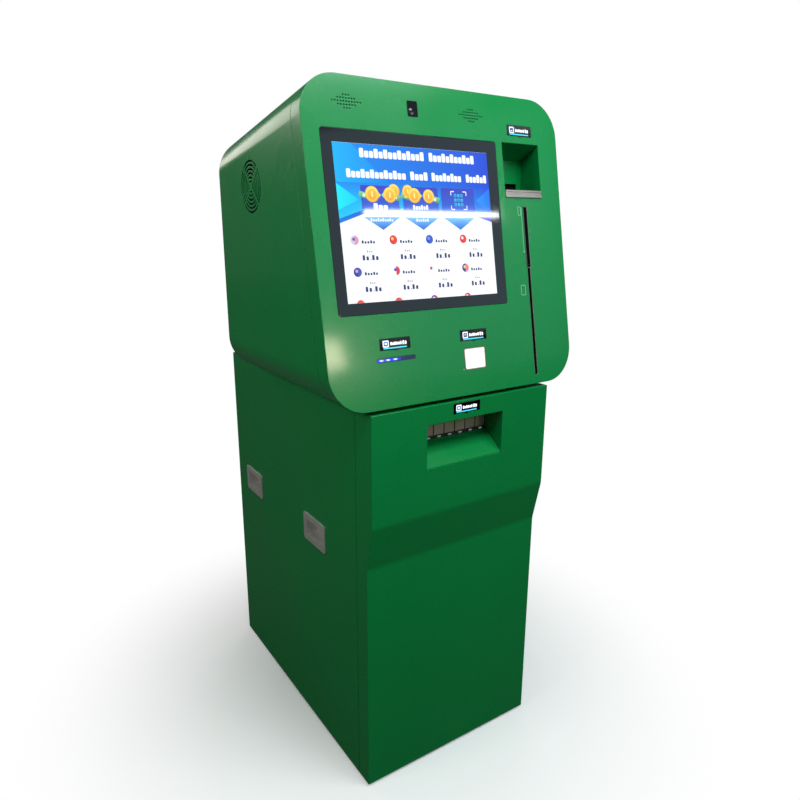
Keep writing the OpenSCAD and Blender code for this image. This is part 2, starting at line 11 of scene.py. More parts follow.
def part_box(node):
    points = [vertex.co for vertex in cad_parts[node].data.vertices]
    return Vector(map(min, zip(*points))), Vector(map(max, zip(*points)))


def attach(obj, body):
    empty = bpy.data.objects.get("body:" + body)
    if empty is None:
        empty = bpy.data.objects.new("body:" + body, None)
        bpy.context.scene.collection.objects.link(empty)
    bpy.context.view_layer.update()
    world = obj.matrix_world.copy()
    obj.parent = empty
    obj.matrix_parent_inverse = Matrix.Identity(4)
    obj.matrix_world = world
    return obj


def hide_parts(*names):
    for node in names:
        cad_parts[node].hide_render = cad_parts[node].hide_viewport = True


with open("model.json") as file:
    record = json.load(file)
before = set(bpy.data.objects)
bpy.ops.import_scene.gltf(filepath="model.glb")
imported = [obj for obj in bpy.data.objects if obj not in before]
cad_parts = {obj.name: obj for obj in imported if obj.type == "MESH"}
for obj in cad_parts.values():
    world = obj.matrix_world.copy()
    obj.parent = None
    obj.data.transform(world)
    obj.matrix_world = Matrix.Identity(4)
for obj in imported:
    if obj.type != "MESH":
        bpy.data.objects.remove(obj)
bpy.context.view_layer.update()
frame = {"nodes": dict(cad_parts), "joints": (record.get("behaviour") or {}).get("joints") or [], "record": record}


# ---------------------------------------------------------------- camera
# The camera stands at eye height in front of the machine's left corner and looks down a little.
# Its lens is a moderate wide angle, so the leaning head looks large against the cabinet's foot.

EYE = (-0.8839, -1.4560, 1.2802)
YAW, TILT, ROLL = (math.radians(degrees) for degrees in (-33.651, 90.0 - 14.769, 0.262))
camera_data = bpy.data.cameras.new("camera")
camera_data.lens = 29.76
camera_data.sensor_width = 36.0
camera_data.shift_y = -0.0059
camera = bpy.data.objects.new("camera", camera_data)
bpy.context.collection.objects.link(camera)
camera.matrix_world = (Matrix.Translation(EYE) @ Matrix.Rotation(YAW, 4, "Z")
                       @ Matrix.Rotation(TILT, 4, "X") @ Matrix.Rotation(ROLL, 4, "Z"))
bpy.context.scene.camera = camera
bpy.context.scene.view_settings.view_transform = "Standard"


# ---------------------------------------------------------------- floor and light
# The floor is a wide disc of pale matt screed that fades into a white room far out.
# The room's own light is weak, so that most of it falls from soft panels overhead.

def node_material(name):
    """A new material with its node tree and its Principled shader."""
    material = bpy.data.materials.new(name)
    material.use_nodes = True
    tree = material.node_tree
    return material, tree, tree.nodes["Principled BSDF"]


def add_node(tree, kind, **values):
    """Adds a node and sets its properties, or its inputs where the name is an input's."""
    node = tree.nodes.new(kind)
    for key, value in values.items():
        label = key.replace("_", " ")
        if label in node.inputs:
            node.inputs[label].default_value = value
        else:
            setattr(node, key, value)
    return node


def new_object(name, vertices, faces, *materials, merge=1e-6):
    """Makes a mesh object from points in metres, and joins points that lie in one place."""
    mesh = bpy.data.meshes.new(name)
    mesh.from_pydata(np.asarray(vertices).tolist(), [], [list(map(int, f)) for f in faces])
    for material in materials:
        mesh.materials.append(material)
    shape = bmesh.new()
    shape.from_mesh(mesh)
    bmesh.ops.remove_doubles(shape, verts=shape.verts, dist=merge)
    bmesh.ops.dissolve_degenerate(shape, edges=shape.edges, dist=merge)
    shape.to_mesh(mesh)
    shape.free()
    obj = bpy.data.objects.new(name, mesh)
    bpy.context.collection.objects.link(obj)
    return obj


def disc(radius, rings, sectors):
    """Points (r cos a, r sin a, 0) on a polar grid, with r growing as the square of its step."""
    r = radius * (np.arange(1, rings + 1) / rings) ** 2
    a = np.linspace(0.0, 2.0 * np.pi, sectors, endpoint=False)
    grid = np.stack([np.outer(r, np.cos(a)), np.outer(r, np.sin(a)), np.zeros((rings, sectors))], -1)
    i = np.arange(rings - 1)[:, None] * sectors + np.arange(sectors)
    j = np.arange(rings - 1)[:, None] * sectors + (np.arange(sectors) + 1) % sectors
    quads = np.stack([i, i + sectors, j + sectors, j], -1).reshape(-1, 4).tolist()
    return grid.reshape(-1, 3), quads + [list(range(sectors))]


def floor_material():
    """Matt screed, dark to every ray but the camera's, that fades into a white glow far out."""
    material, tree, shader = node_material("pale_screed")
    shader.inputs["Roughness"].default_value = 0.9
    place = add_node(tree, "ShaderNodeTexCoord")
    mottle = add_node(tree, "ShaderNodeTexNoise", Scale=1.3, Detail=5.0)
    tree.links.new(place.outputs["Object"], mottle.inputs["Vector"])
    tint = add_node(tree, "ShaderNodeValToRGB")
    tint.color_ramp.elements[0].color = (0.88, 0.88, 0.88, 1.0)
    tint.color_ramp.elements[1].color = (0.93, 0.93, 0.925, 1.0)
    tree.links.new(mottle.outputs["Fac"], tint.inputs["Fac"])
    path = add_node(tree, "ShaderNodeLightPath")
    seen = add_node(tree, "ShaderNodeMix", data_type="RGBA")
    tree.links.new(path.outputs["Is Camera Ray"], seen.inputs["Factor"])
    seen.inputs["A"].default_value = (0.05, 0.05, 0.05, 1.0)
    tree.links.new(tint.outputs["Color"], seen.inputs["B"])
    tree.links.new(seen.outputs["Result"], shader.inputs["Base Color"])
    far = add_node(tree, "ShaderNodeVectorMath", operation="LENGTH")
    tree.links.new(place.outputs["Object"], far.inputs[0])
    fade = add_node(tree, "ShaderNodeMapRange", interpolation_type="SMOOTHSTEP")
    fade.inputs["From Min"].default_value = 0.1
    fade.inputs["From Max"].default_value = 1.0
    tree.links.new(far.outputs["Value"], fade.inputs["Value"])
    glow = add_node(tree, "ShaderNodeEmission")
    glow.inputs["Color"].default_value = (1.0, 1.0, 1.0, 1.0)
    faint = add_node(tree, "ShaderNodeMapRange")
    faint.inputs["To Min"].default_value = 0.05
    tree.links.new(path.outputs["Is Camera Ray"], faint.inputs["Value"])
    tree.links.new(faint.outputs["Result"], glow.inputs["Strength"])
    blend = add_node(tree, "ShaderNodeMixShader")
    tree.links.new(fade.outputs["Result"], blend.inputs["Fac"])
    tree.links.new(shader.outputs["BSDF"], blend.inputs[1])
    tree.links.new(glow.outputs["Emission"], blend.inputs[2])
    tree.links.new(blend.outputs["Shader"], tree.nodes["Material Output"].inputs["Surface"])
    return material


floor = new_object("floor", *disc(14.0, 24, 64), floor_material())

world = bpy.data.worlds.new("white_room")
world.use_nodes = True
bpy.context.scene.world = world
room = world.node_tree
wall = room.nodes["Background"]
wall.inputs["Color"].default_value = (1.0, 1.0, 1.0, 1.0)
dim = add_node(room, "ShaderNodeBackground")
dim.inputs["Color"].default_value = (0.80, 0.86, 0.84, 1.0)
dim.inputs["Strength"].default_value = 0.12
rays = add_node(room, "ShaderNodeLightPath")
choose = add_node(room, "ShaderNodeMixShader")
room.links.new(rays.outputs["Is Camera Ray"], choose.inputs["Fac"])
room.links.new(dim.outputs["Background"], choose.inputs[1])
room.links.new(wall.outputs["Background"], choose.inputs[2])
room.links.new(choose.outputs["Shader"], room.nodes["World Output"].inputs["Surface"])


def soft_panel(name, centre, target, size, power, tint=(1.0, 1.0, 1.0)):
    """A rectangular light that faces its target."""
    data = bpy.data.lights.new(name, "AREA")
    data.shape = "RECTANGLE"
    data.size, data.size_y = size
    data.energy = power
    data.color = tint
    lamp = bpy.data.objects.new(name, data)
    bpy.context.collection.objects.link(lamp)
    lamp.location = centre
    towards = np.subtract(target, centre)
    yaw = math.atan2(-towards[0], towards[1])
    lean = math.acos(-towards[2] / np.linalg.norm(towards))
    lamp.rotation_euler = (lean, 0.0, yaw)


soft_panel("ceiling_panel", (0.1, -1.35, 2.65), (0.0, -0.2, 1.1), (2.0, 0.7), 48.0, (0.84, 1.0, 1.0))
soft_panel("window_front", (1.6, -4.2, 2.3), (0.0, -0.2, 1.2), (4.6, 2.2), 26.0, (0.58, 0.84, 1.0))
soft_panel("window_back", (-1.6, 3.4, 2.5), (-0.3, 0.0, 1.3), (2.2, 1.0), 20.0, (1.0, 0.95, 0.86))
soft_panel("window_left", (-2.3, -0.3, 1.95), (-0.3, 0.0, 1.25), (1.0, 0.8), 19.0, (1.0, 0.97, 0.92))
soft_panel("back_fill", (2.2, 2.4, 2.4), (0.0, 0.0, 0.9), (2.0, 1.4), 14.0)
soft_panel("desk_lamp", (0.875, -2.75, 1.37), (-0.29, -0.37, 1.04), (0.18, 0.18), 5.0, (1.0, 0.88, 0.62))

# A ceiling tube, whose reflection crosses the touch glass as a thin bright line.
tube_ends = np.array([[1.110, -2.402, 2.116], [1.874, -2.122, 1.995]])
tube_middle = tube_ends.mean(0)
glass_middle = np.array([-0.0375, -0.319, 1.295])
tube_data = bpy.data.lights.new("ceiling_tube", "AREA")
tube_data.shape = "RECTANGLE"
tube_data.size, tube_data.size_y = float(np.linalg.norm(tube_ends[1] - tube_ends[0])), 0.024
tube_data.energy = 2.2
tube = bpy.data.objects.new("ceiling_tube", tube_data)
bpy.context.collection.objects.link(tube)
along = (tube_ends[1] - tube_ends[0]) / tube_data.size
outward = tube_middle - glass_middle
outward -= along * (outward @ along)
outward /= np.linalg.norm(outward)
axes = np.stack([along, np.cross(outward, along), outward], 1)
tube.matrix_world = Matrix.Translation(tube_middle) @ Matrix(axes.tolist()).to_4x4()


# ---------------------------------------------------------------- carried-over pieces
# Pieces that are right as they stand get a small worn radius on their edges and smooth curves.
# Their finishes are powder coat, zinc plate, stainless steel, moulded plastic, rubber and paper.

def smooth_by_angle(limit):
    """A geometry group that shades smooth and keeps edges sharper than the limit."""
    group = bpy.data.node_groups.new("smooth_curves", "GeometryNodeTree")
    group.interface.new_socket("Geometry", in_out="INPUT", socket_type="NodeSocketGeometry")
    group.interface.new_socket("Geometry", in_out="OUTPUT", socket_type="NodeSocketGeometry")
    start = group.nodes.new("NodeGroupInput")
    end = group.nodes.new("NodeGroupOutput")
    faces = group.nodes.new("GeometryNodeSetShadeSmooth")
    edges = group.nodes.new("GeometryNodeSetShadeSmooth")
    edges.domain = "EDGE"
    edges.inputs["Shade Smooth"].default_value = False
    angle = group.nodes.new("GeometryNodeInputMeshEdgeAngle")
    sharp = group.nodes.new("FunctionNodeCompare")
    sharp.operation = "GREATER_THAN"
    sharp.inputs["B"].default_value = limit
    group.links.new(start.outputs[0], faces.inputs["Geometry"])
    group.links.new(faces.outputs[0], edges.inputs["Geometry"])
    group.links.new(angle.outputs["Unsigned Angle"], sharp.inputs["A"])
    group.links.new(sharp.outputs["Result"], edges.inputs["Selection"])
    group.links.new(edges.outputs[0], end.inputs[0])
    return group


SHARP = math.radians(35.0)
SMOOTH_CURVES = smooth_by_angle(SHARP)


def finish_sheet(obj):
    """Shades a piece smooth, with each flat face keeping its own direction."""
    curves = obj.modifiers.new("smooth_curves", "NODES")
    curves.node_group = SMOOTH_CURVES
    normals = obj.modifiers.new("face_normals", "WEIGHTED_NORMAL")
    normals.keep_sharp = True


def finish_edges(obj, radius, windows=False):
    """Joins the loose triangles, rounds the sharp edges and shades the curves smooth.

    A flat face round a window keeps its triangles, because one polygon can't leave the hole open.
    """
    weld = obj.modifiers.new("weld", "WELD")
    weld.merge_threshold = 1e-6
    if not windows:
        flat = obj.modifiers.new("flat_faces", "DECIMATE")
        flat.decimate_type = "DISSOLVE"
        flat.angle_limit = math.radians(0.5)
    bevel = obj.modifiers.new("worn_edge", "BEVEL")
    bevel.width = radius
    bevel.segments = 2
    bevel.limit_method = "ANGLE"
    bevel.angle_limit = SHARP
    bevel.miter_outer = "MITER_ARC"
    finish_sheet(obj)


def surface_noise(tree, scale, detail, stretch=(1.0, 1.0, 1.0)):
    """Noise on the piece's own coordinates, drawn out along the axes with small stretch."""
    place = add_node(tree, "ShaderNodeTexCoord")
    mapping = add_node(tree, "ShaderNodeMapping")
    mapping.inputs["Scale"].default_value = stretch
    noise = add_node(tree, "ShaderNodeTexNoise", Scale=scale, Detail=detail)
    tree.links.new(place.outputs["Object"], mapping.inputs["Vector"])
    tree.links.new(mapping.outputs["Vector"], noise.inputs["Vector"])
    return noise.outputs["Fac"]


def vary(tree, factor, low, high, socket):
    """Feeds a socket from noise, between a low and a high value or colour."""
    ramp = add_node(tree, "ShaderNodeValToRGB")
    ramp.color_ramp.elements[0].position = 0.3
    ramp.color_ramp.elements[1].position = 0.7
    for stop, value in zip(ramp.color_ramp.elements, (low, high)):
        stop.color = value if isinstance(value, tuple) else (value, value, value, 1.0)
    tree.links.new(factor, ramp.inputs["Fac"])
    tree.links.new(ramp.outputs["Color"], socket)


def bump(tree, shader, height, strength, distance):
    """Tips the shader's normals by a height's slope, with the height's full reach in metres."""
    relief = add_node(tree, "ShaderNodeBump", Strength=strength, Distance=distance)
    tree.links.new(height, relief.inputs["Height"])
    tree.links.new(relief.outputs["Normal"], shader.inputs["Normal"])


def powder_coat(name, low, high, roughness, specular=0.5, peel=0.10):
    """Polyester powder coat: two close shades in large soft patches and a 3 mm orange peel."""
    material, tree, shader = node_material(name)
    vary(tree, surface_noise(tree, 2.2, 3.0), low, high, shader.inputs["Base Color"])
    vary(tree, surface_noise(tree, 9.0, 4.0), roughness * 0.85, roughness * 1.15,
         shader.inputs["Roughness"])
    shader.inputs["Specular IOR Level"].default_value = specular
    shader.inputs["Coat Weight"].default_value = 0.30
    shader.inputs["Coat Roughness"].default_value = 0.10
    bump(tree, shader, surface_noise(tree, 330.0, 2.0), peel, 0.0004)
    return material


def plated_metal(name, low, high, roughness, stretch, scale=900.0, metallic=1.0):
    """Metal whose brushing is noise drawn out along one axis, with a cloudy gloss."""
    material, tree, shader = node_material(name)
    shader.inputs["Metallic"].default_value = metallic
    shader.inputs["Anisotropic"].default_value = 0.4
    vary(tree, surface_noise(tree, 14.0, 4.0), low, high, shader.inputs["Base Color"])
    grain = surface_noise(tree, scale, 3.0, stretch)
    vary(tree, grain, roughness * 0.8, roughness * 1.25, shader.inputs["Roughness"])
    bump(tree, shader, grain, 0.12, 0.0002)
    return material


def moulded(name, low, high, roughness, grain=700.0, relief=0.15, specular=0.5):
    """Moulded plastic or rubber with a fine spark-eroded grain."""
    material, tree, shader = node_material(name)
    shader.inputs["Specular IOR Level"].default_value = specular
    vary(tree, surface_noise(tree, 24.0, 4.0), low, high, shader.inputs["Base Color"])
    vary(tree, surface_noise(tree, 40.0, 3.0), roughness * 0.9, roughness * 1.1,
         shader.inputs["Roughness"])
    bump(tree, shader, surface_noise(tree, grain, 2.0), relief, 0.0002)
    return material


def recoat(node, finish):
    """Gives a carried-over piece one finish in place of its own."""
    node.data.materials.clear()
    node.data.materials.append(finish)


green_paint = powder_coat(
    "green_powder_coat", (0.0008, 0.205, 0.044, 1.0), (0.0010, 0.222, 0.049, 1.0), 0.27, 0.28, 0.16)
black_paint = powder_coat(
    "black_powder_coat", (0.010, 0.010, 0.012, 1.0), (0.016, 0.016, 0.018, 1.0), 0.42)
zinc_plate = plated_metal(
    "zinc_plate", (0.52, 0.54, 0.56, 1.0), (0.66, 0.68, 0.70, 1.0), 0.36, (1.0, 1.0, 0.25), 220.0)
stainless = plated_metal(
    "stainless_steel", (0.50, 0.48, 0.45, 1.0), (0.60, 0.575, 0.54, 1.0), 0.30, (0.03, 0.03, 1.0))
equipment_case = moulded(
    "equipment_case", (0.30, 0.31, 0.33, 1.0), (0.36, 0.37, 0.39, 1.0), 0.55)
black_plastic = moulded(
    "black_plastic", (0.012, 0.012, 0.014, 1.0), (0.022, 0.022, 0.025, 1.0), 0.48)
black_rubber = moulded(
    "black_rubber", (0.010, 0.010, 0.010, 1.0), (0.020, 0.020, 0.020, 1.0), 0.75, 300.0)
cassette_plastic = moulded(
    "cassette_plastic", (0.050, 0.056, 0.066, 1.0), (0.072, 0.080, 0.092, 1.0), 0.50, 450.0)
thermal_paper = moulded(
    "thermal_paper", (0.80, 0.80, 0.77, 1.0), (0.87, 0.87, 0.85, 1.0), 0.65, 1200.0, 0.05)

# Each material slot's finish, and the radius in metres to which its edges are worn.
FINISHES = {
    "green_powder_coat": (green_paint, 0.0008),
    "black_powder_coat": (black_paint, 0.0008),
    "zinc_plate": (zinc_plate, 0.0004),
    "stainless_steel": (stainless, 0.0004),
    "equipment_case": (equipment_case, 0.0010),
    "black_plastic": (black_plastic, 0.0004),
    "black_rubber": (black_rubber, 0.0006),
    "cassette_plastic": (cassette_plastic, 0.0015),
    "paper": (thermal_paper, 0.0003),
    "black_glass": (black_plastic, 0.0004),
    "sign_lens": (black_plastic, 0.0002),
}
for part in frame["record"]["subparts"]:
    node = frame["nodes"][part["node"]]
    finish, worn = FINISHES[part["material_slot"]]
    recoat(node, finish)
    finish_edges(node, worn, part["node"] in ("rear_frame", "display_module", "dispenser_frame"))


# ---------------------------------------------------------------- head door
# The leaning door of the head is one pressed steel sheet with its edges folded back 40 mm.
# Its openings are laser cut, and the outer edge is ground to a small radius before painting.

MM = 0.001
lean_axis = next(j for j in frame["joints"] if j["name"] == "head_door_hinge")["axis"]
UP = -np.array(lean_axis)
ACROSS = np.array([1.0, 0.0, 0.0])
INWARD = np.cross(UP, ACROSS)
LEAN = math.atan2(UP[1], UP[2])
door_low, door_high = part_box("head_door_panel")
FACE_ORIGIN = np.array([0.0, door_low[1], door_low[2]])
HEAD_HALF = door_high[0] / MM
HEAD_TALL = 640.0
HEAD_RADIUS = 80.0
HEAD_DOOR_DEPTH = 40.0
SHEET = 2.0


def on_face(points, depth=0.0):
    """Origin + across u + up v + inward depth, from millimetres on the leaning face to metres."""
    u, v = np.asarray(points, float).T
    deep = depth + 0.0 * u
    return FACE_ORIGIN + MM * (np.outer(u, ACROSS) + np.outer(v, UP) + np.outer(deep, INWARD))


def rounded(width, height, radius, centre=(0.0, 0.0), steps=8):
    """Outline of a rectangle with round corners, anticlockwise: corner + r (cos a, sin a)."""
    a = np.linspace(0.0, np.pi / 2.0, steps + 1)
    turns = a[None, :] + np.pi / 2.0 * np.arange(4)[:, None]
    reach = np.array([width, height]) / 2.0 - radius
    corners = np.array([[1, 1], [-1, 1], [-1, -1], [1, -1]]) * reach
    ring = corners[:, None, :] + radius * np.stack([np.cos(turns), np.sin(turns)], -1)
    return ring.reshape(-1, 2) + np.array(centre)


def circle(radius, centre=(0.0, 0.0), sides=16):
    """Points (r cos a, r sin a) about a centre, anticlockwise."""
    a = np.linspace(0.0, 2.0 * np.pi, sides, endpoint=False)
    return radius * np.stack([np.cos(a), np.sin(a)], -1) + np.array(centre)


def moved_out(outline, distance):
    """Moves each point of a closed outline to its right, along the mean of its edges' normals."""
    ahead = np.roll(outline, -1, axis=0) - outline
    ahead /= np.linalg.norm(ahead, axis=1, keepdims=True) + 1e-12
    behind = np.roll(ahead, 1, axis=0)
    normal = np.stack([ahead[:, 1] + behind[:, 1], -ahead[:, 0] - behind[:, 0]], -1)
    square = (normal ** 2).sum(1, keepdims=True)
    return outline + 2.0 * distance * normal / np.maximum(square, 0.5)


def quarter_round(radius, steps=3):
    """Inset r (1 - sin a) and depth r (1 - cos a) of a rounded edge, for a from 0 to 90 degrees."""
    a = np.linspace(0.0, np.pi / 2.0, steps + 1)
    return list(zip(radius * (1.0 - np.sin(a)), radius * (1.0 - np.cos(a))))


def within(points, outline):
    """True for points whose ray to the right crosses the outline an odd number of times."""
    x, y = points[:, 0:1], points[:, 1:2]
    ax, ay = outline.T
    bx, by = np.roll(outline, -1, axis=0).T
    straddle = (ay > y) != (by > y)
    slope = np.where(by == ay, 1.0, by - ay)
    return (straddle & (x < ax + (y - ay) * (bx - ax) / slope)).sum(1) % 2 == 1


def fill(outer, holes=(), lines=()):
    """Delaunay triangles between an outline, its holes and any crease lines across it."""
    loops = [outer, *holes]
    points, edges = [], []
    for loop in loops:
        start = len(points)
        count = len(loop)
        points += loop.tolist()
        edges += [(start + k, start + (k + 1) % count) for k in range(count)]
    for line in lines:
        edges += [(len(points), len(points) + 1)]
        points += [list(line[0]), list(line[1])]
    flat, _, faces, _, _, _ = delaunay_2d_cdt(points, edges, [], 0, 1e-5)
    flat = np.array([tuple(p) for p in flat])
    faces = np.array([f for f in faces])
    middle = flat[faces].mean(1)
    keep = within(middle, outer)
    for hole in holes:
        keep &= ~within(middle, hole)
    a, b, c = (flat[faces[:, k]] for k in range(3))
    turn = (b - a)[:, 0] * (c - a)[:, 1] - (b - a)[:, 1] * (c - a)[:, 0]
    faces = np.where(turn[:, None] > 0, faces, faces[:, ::-1])
    return flat, faces[keep & (np.abs(turn) > 1e-7)]


def band(rings, closed=True, skip=()):
    """Quads between successive rings of points, but for the places round the ring in skip."""
    count = len(rings[0])
    places = [k for k in range(count if closed else count - 1) if k not in skip]
    faces = []
    for r in range(len(rings) - 1):
        near, far = r * count, (r + 1) * count
        faces += [(near + k, far + k, far + (k + 1) % count, near + (k + 1) % count) for k in places]
    return np.concatenate(rings), faces


def joined(*parts):
    """Puts several (points, faces) pairs into one."""
    points, faces, start = [], [], 0
    for some, around in parts:
        points.append(some)
        faces += [tuple(int(k) + start for k in face) for face in around]
        start += len(some)
    return np.concatenate(points), faces


def sheet_panel(outer, holes, place, thickness=SHEET, radius=1.2, hole_radius=0.35,
                flange=None, lines=()):
    """A sheet with rounded edges: flat skins front and back, a rim round each loop, and a fold.

    The outline runs anticlockwise and each hole clockwise. The fold goes back to the depth
    that flange gives, with the sheet's thickness, and place turns (points, depth) into metres.
    """
    parts = []
    rim = [place(moved_out(outer, -inset), depth) for inset, depth in quarter_round(radius)]
    if flange is None:
        rim += [place(outer, thickness)]
        inner = outer
    else:
        inner = moved_out(outer, -thickness)
        rim += [place(outer, flange(outer)), place(inner, flange(outer)), place(inner, thickness)]
    parts.append(band(rim))
    for hole in holes:
        edge = [place(moved_out(hole, -inset), depth)
                for inset, depth in quarter_round(hole_radius, 2)]
        parts.append(band(edge + [place(hole, thickness)]))
    flat, faces = fill(moved_out(outer, -radius), [moved_out(h, -hole_radius) for h in holes], lines)
    parts.append((place(flat, 0.0), faces))
    flat, faces = fill(inner, holes, lines)
    parts.append((place(flat, thickness), faces[:, ::-1]))
    return joined(*parts)


def stands_for(obj, body, slot, *nodes):
    """Rides the piece on its body and hides the CAD nodes it stands for; the slot is not used."""
    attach(obj, body)
    if nodes:
        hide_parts(*nodes)


def head_outline(steps=14):
    """The head seen along its face: circular corners at the top, and corners at the foot that
    are circles in plan height, so they are taller by one over the cosine of the lean."""
    ring = rounded(2 * HEAD_HALF, HEAD_TALL, HEAD_RADIUS, (0.0, HEAD_TALL / 2.0), steps)
    low = ring[:, 1] < HEAD_TALL / 2.0
    ring[low, 1] /= math.cos(LEAN)
    return ring


def level_share(v):
    """1 where the outline's edge runs level to the back, 0 where it runs square to the face."""
    return np.clip((340.0 - v) / 80.0, 0.0, 1.0)


def on_head_sheet(points, depth):
    """As on_face, with the foot's points shifted up by depth x tan(lean) so the foot stays level."""
    points = np.array(points, float)
    depth = depth + 0.0 * points[:, 0]
    points[:, 1] += depth * math.tan(LEAN) * level_share(points[:, 1])
    return on_face(points, depth)


def sign_outline(centre, grow=0.0):
    """A rounded plate with a small pointed tab in the middle of its lower edge."""
    plate = rounded(SIGN_WIDE + 2 * grow, SIGN_TALL + 2 * grow, 2.0, steps=4)
    low = -SIGN_TALL / 2.0 - grow
    start = np.argmax((plate[:, 1] < low + 0.01) & (plate[:, 0] < 0.0)) + 1
    tab = np.array([[-6.0 - grow, low], [0.0, low - 3.0], [6.0 + grow, low]])
    return np.insert(plate, start, tab, axis=0) + np.array(centre)


SIGN_WIDE, SIGN_TALL = 73.0, 23.0
GLASS = rounded(427.0, 350.0, 5.4, (-76.5, 365.0))
HEAD_SIGNS = [(211.0, 568.0), (-169.5, 128.7), (32.3, 128.7)]
COLUMN = 211.0
RECEIPT = (-169.5, 98.0)
WINDOW = (32.3, 78.0)
CAMERA_AT = (-76.0, 590.0)
ID_HALF = 54.75
speaker_rows = [(-12.0, 3), (-6.0, 7), (0.0, 11), (6.0, 7), (12.0, 3)]
speaker_pitch = 6.1
speaker_holes = [circle(1.7, (x + (k - (count - 1) / 2) * speaker_pitch, CAMERA_AT[1] + rise), 12)
                 for x in (-227.0, 74.0) for rise, count in speaker_rows for k in range(count)]
door_holes = speaker_holes + [
    moved_out(GLASS, 0.6),
    rounded(25.4, 31.4, 3.0, CAMERA_AT, 4),
    rounded(2 * ID_HALF, 119.0, 0.8, (COLUMN, 481.5), 2),
    rounded(12.8, 137.4, 1.0, (COLUMN, 334.5), 2),
    rounded(10.0, 254.4, 4.9, (COLUMN, 147.0), 6),
    rounded(92.4, 8.8, 1.5, RECEIPT, 3),
    rounded(59.4, 47.6, 4.0, WINDOW, 4),
    circle(2.0, (-1.1, 56.7), 16),
] + [sign_outline(centre, 0.3) for centre in HEAD_SIGNS]
head_door = new_object("head_door", *sheet_panel(
    head_outline(), [hole[::-1] for hole in door_holes], on_head_sheet,
    flange=lambda outline: HEAD_DOOR_DEPTH), green_paint)
finish_sheet(head_door)
stands_for(head_door, "head_door", "green_powder_coat", "head_door_panel")


# ---------------------------------------------------------------- head shell
# The shell behind the door is a welded sheet wrapped round the head, with a flange inwards at
# its back. The left side has the fan's vent: six rings of slots, cut through by four spokes.

VENT_AT = np.array(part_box("fan_rotor")).mean(0)[1:] / MM
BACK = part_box("head_shell")[1][1] / MM
DOOR_SEAM = 1.5
SHELL_ROUND = 0.8
BACK_STEP, BACK_FLANGE = 2.0, 20.0
VENT_RINGS, VENT_PITCH, VENT_WIDTH, VENT_INNER, SPOKE = 6, 8.4, 4.0, 9.0, 5.0


def shell_ring(inset, from_front=None, from_back=None):
    """A ring round the shell, at a distance from its front edge or from its back plane.

    Each point slides along a straight line from the leaning front edge to the upright back:
    square to the face at the top, level at the foot.
    """
    outline = moved_out(head_outline(), -inset)
    front = on_head_sheet(outline, HEAD_DOOR_DEPTH + DOOR_SEAM)
    share = level_share(outline[:, 1])[:, None]
    face = on_face(outline)
    run = (BACK * MM - face[:, 1:2]) / INWARD[1]
    square = face + run * INWARD
    level = np.concatenate([face[:, :1], np.full((len(face), 1), BACK * MM), face[:, 2:]], 1)
    back = share * level + (1.0 - share) * square
    along = back - front
    long = np.linalg.norm(along, axis=1, keepdims=True)
    if from_front is not None:
        return front + along / long * from_front * MM
    return back - along / along[:, 1:2] * from_back * MM


outline = head_outline()
left_edge = [k for k in range(len(outline)) if outline[k, 0] < -HEAD_HALF + 1e-6
             and outline[(k + 1) % len(outline), 0] < -HEAD_HALF + 1e-6]
rounding = quarter_round(SHELL_ROUND)
wall_rings = [shell_ring(inset, from_front=depth) for inset, depth in rounding]
wall_rings += [shell_ring(inset, from_back=depth) for inset, depth in rounding[::-1]]
back_rings = [shell_ring(inset, from_back=depth) for inset, depth in (
    (SHELL_ROUND, 0.0), (SHEET, 0.0), (SHEET, BACK_STEP), (SHEET + BACK_FLANGE, BACK_STEP),
    (SHEET + BACK_FLANGE, BACK_STEP + SHEET), (SHEET, BACK_STEP + SHEET))]
inner_rings = [back_rings[-1], shell_ring(SHEET, from_front=0.0),
               shell_ring(SHELL_ROUND, from_front=0.0)]


def vent_slots():
    """Arc slots between two radii, from one spoke to the next: angles 45 - asin(spoke / 2 r)."""
    slots = []
    for inner in VENT_INNER + VENT_PITCH * np.arange(VENT_RINGS):
        outer = inner + VENT_WIDTH
        for middle in (0.0, 90.0, 180.0, 270.0):
            sides = max(4, int(inner / 3))
            reach = [np.radians(45.0) - np.arcsin(SPOKE / 2.0 / r) for r in (outer, inner)]
            there = np.radians(middle) + np.linspace(-reach[0], reach[0], sides)
            back = np.radians(middle) + np.linspace(reach[1], -reach[1], sides)
            arc = np.concatenate([outer * np.stack([np.cos(there), np.sin(there)], -1),
                                  inner * np.stack([np.cos(back), np.sin(back)], -1)])
            slots.append(arc + VENT_AT)
    return slots


def on_left_side(points, depth):
    """Points across y and z on the left wall, which faces -X, and depth towards +X."""
    y, z = np.asarray(points, float).T
    return MM * np.stack([-HEAD_HALF + depth + 0.0 * y, y, z], -1)


def side_wall():
    """The flat left wall with its vent, fitted between the shell's own points at its corners."""
    corner = [left_edge[0], left_edge[-1] + 1]
    parts = []
    ends = (wall_rings[len(rounding) - 1], wall_rings[len(rounding)]), (inner_rings[1], inner_rings[0])
    outer, inner = (np.array([first[corner], last[corner[::-1]]]).reshape(4, 3)[:, 1:] / MM
                    for first, last in ends)
    slots = vent_slots()
    edge_round = 0.3
    flat, faces = fill(outer, [moved_out(slot, edge_round) for slot in slots])
    parts.append((on_left_side(flat, 0.0), faces[:, ::-1]))
    flat, faces = fill(inner, slots)
    parts.append((on_left_side(flat, SHEET), faces))
    for slot in slots:
        edge = [on_left_side(moved_out(slot, inset), depth)
                for inset, depth in quarter_round(edge_round, 2)]
        parts.append(band(edge + [on_left_side(slot, SHEET)]))
    return joined(*parts)


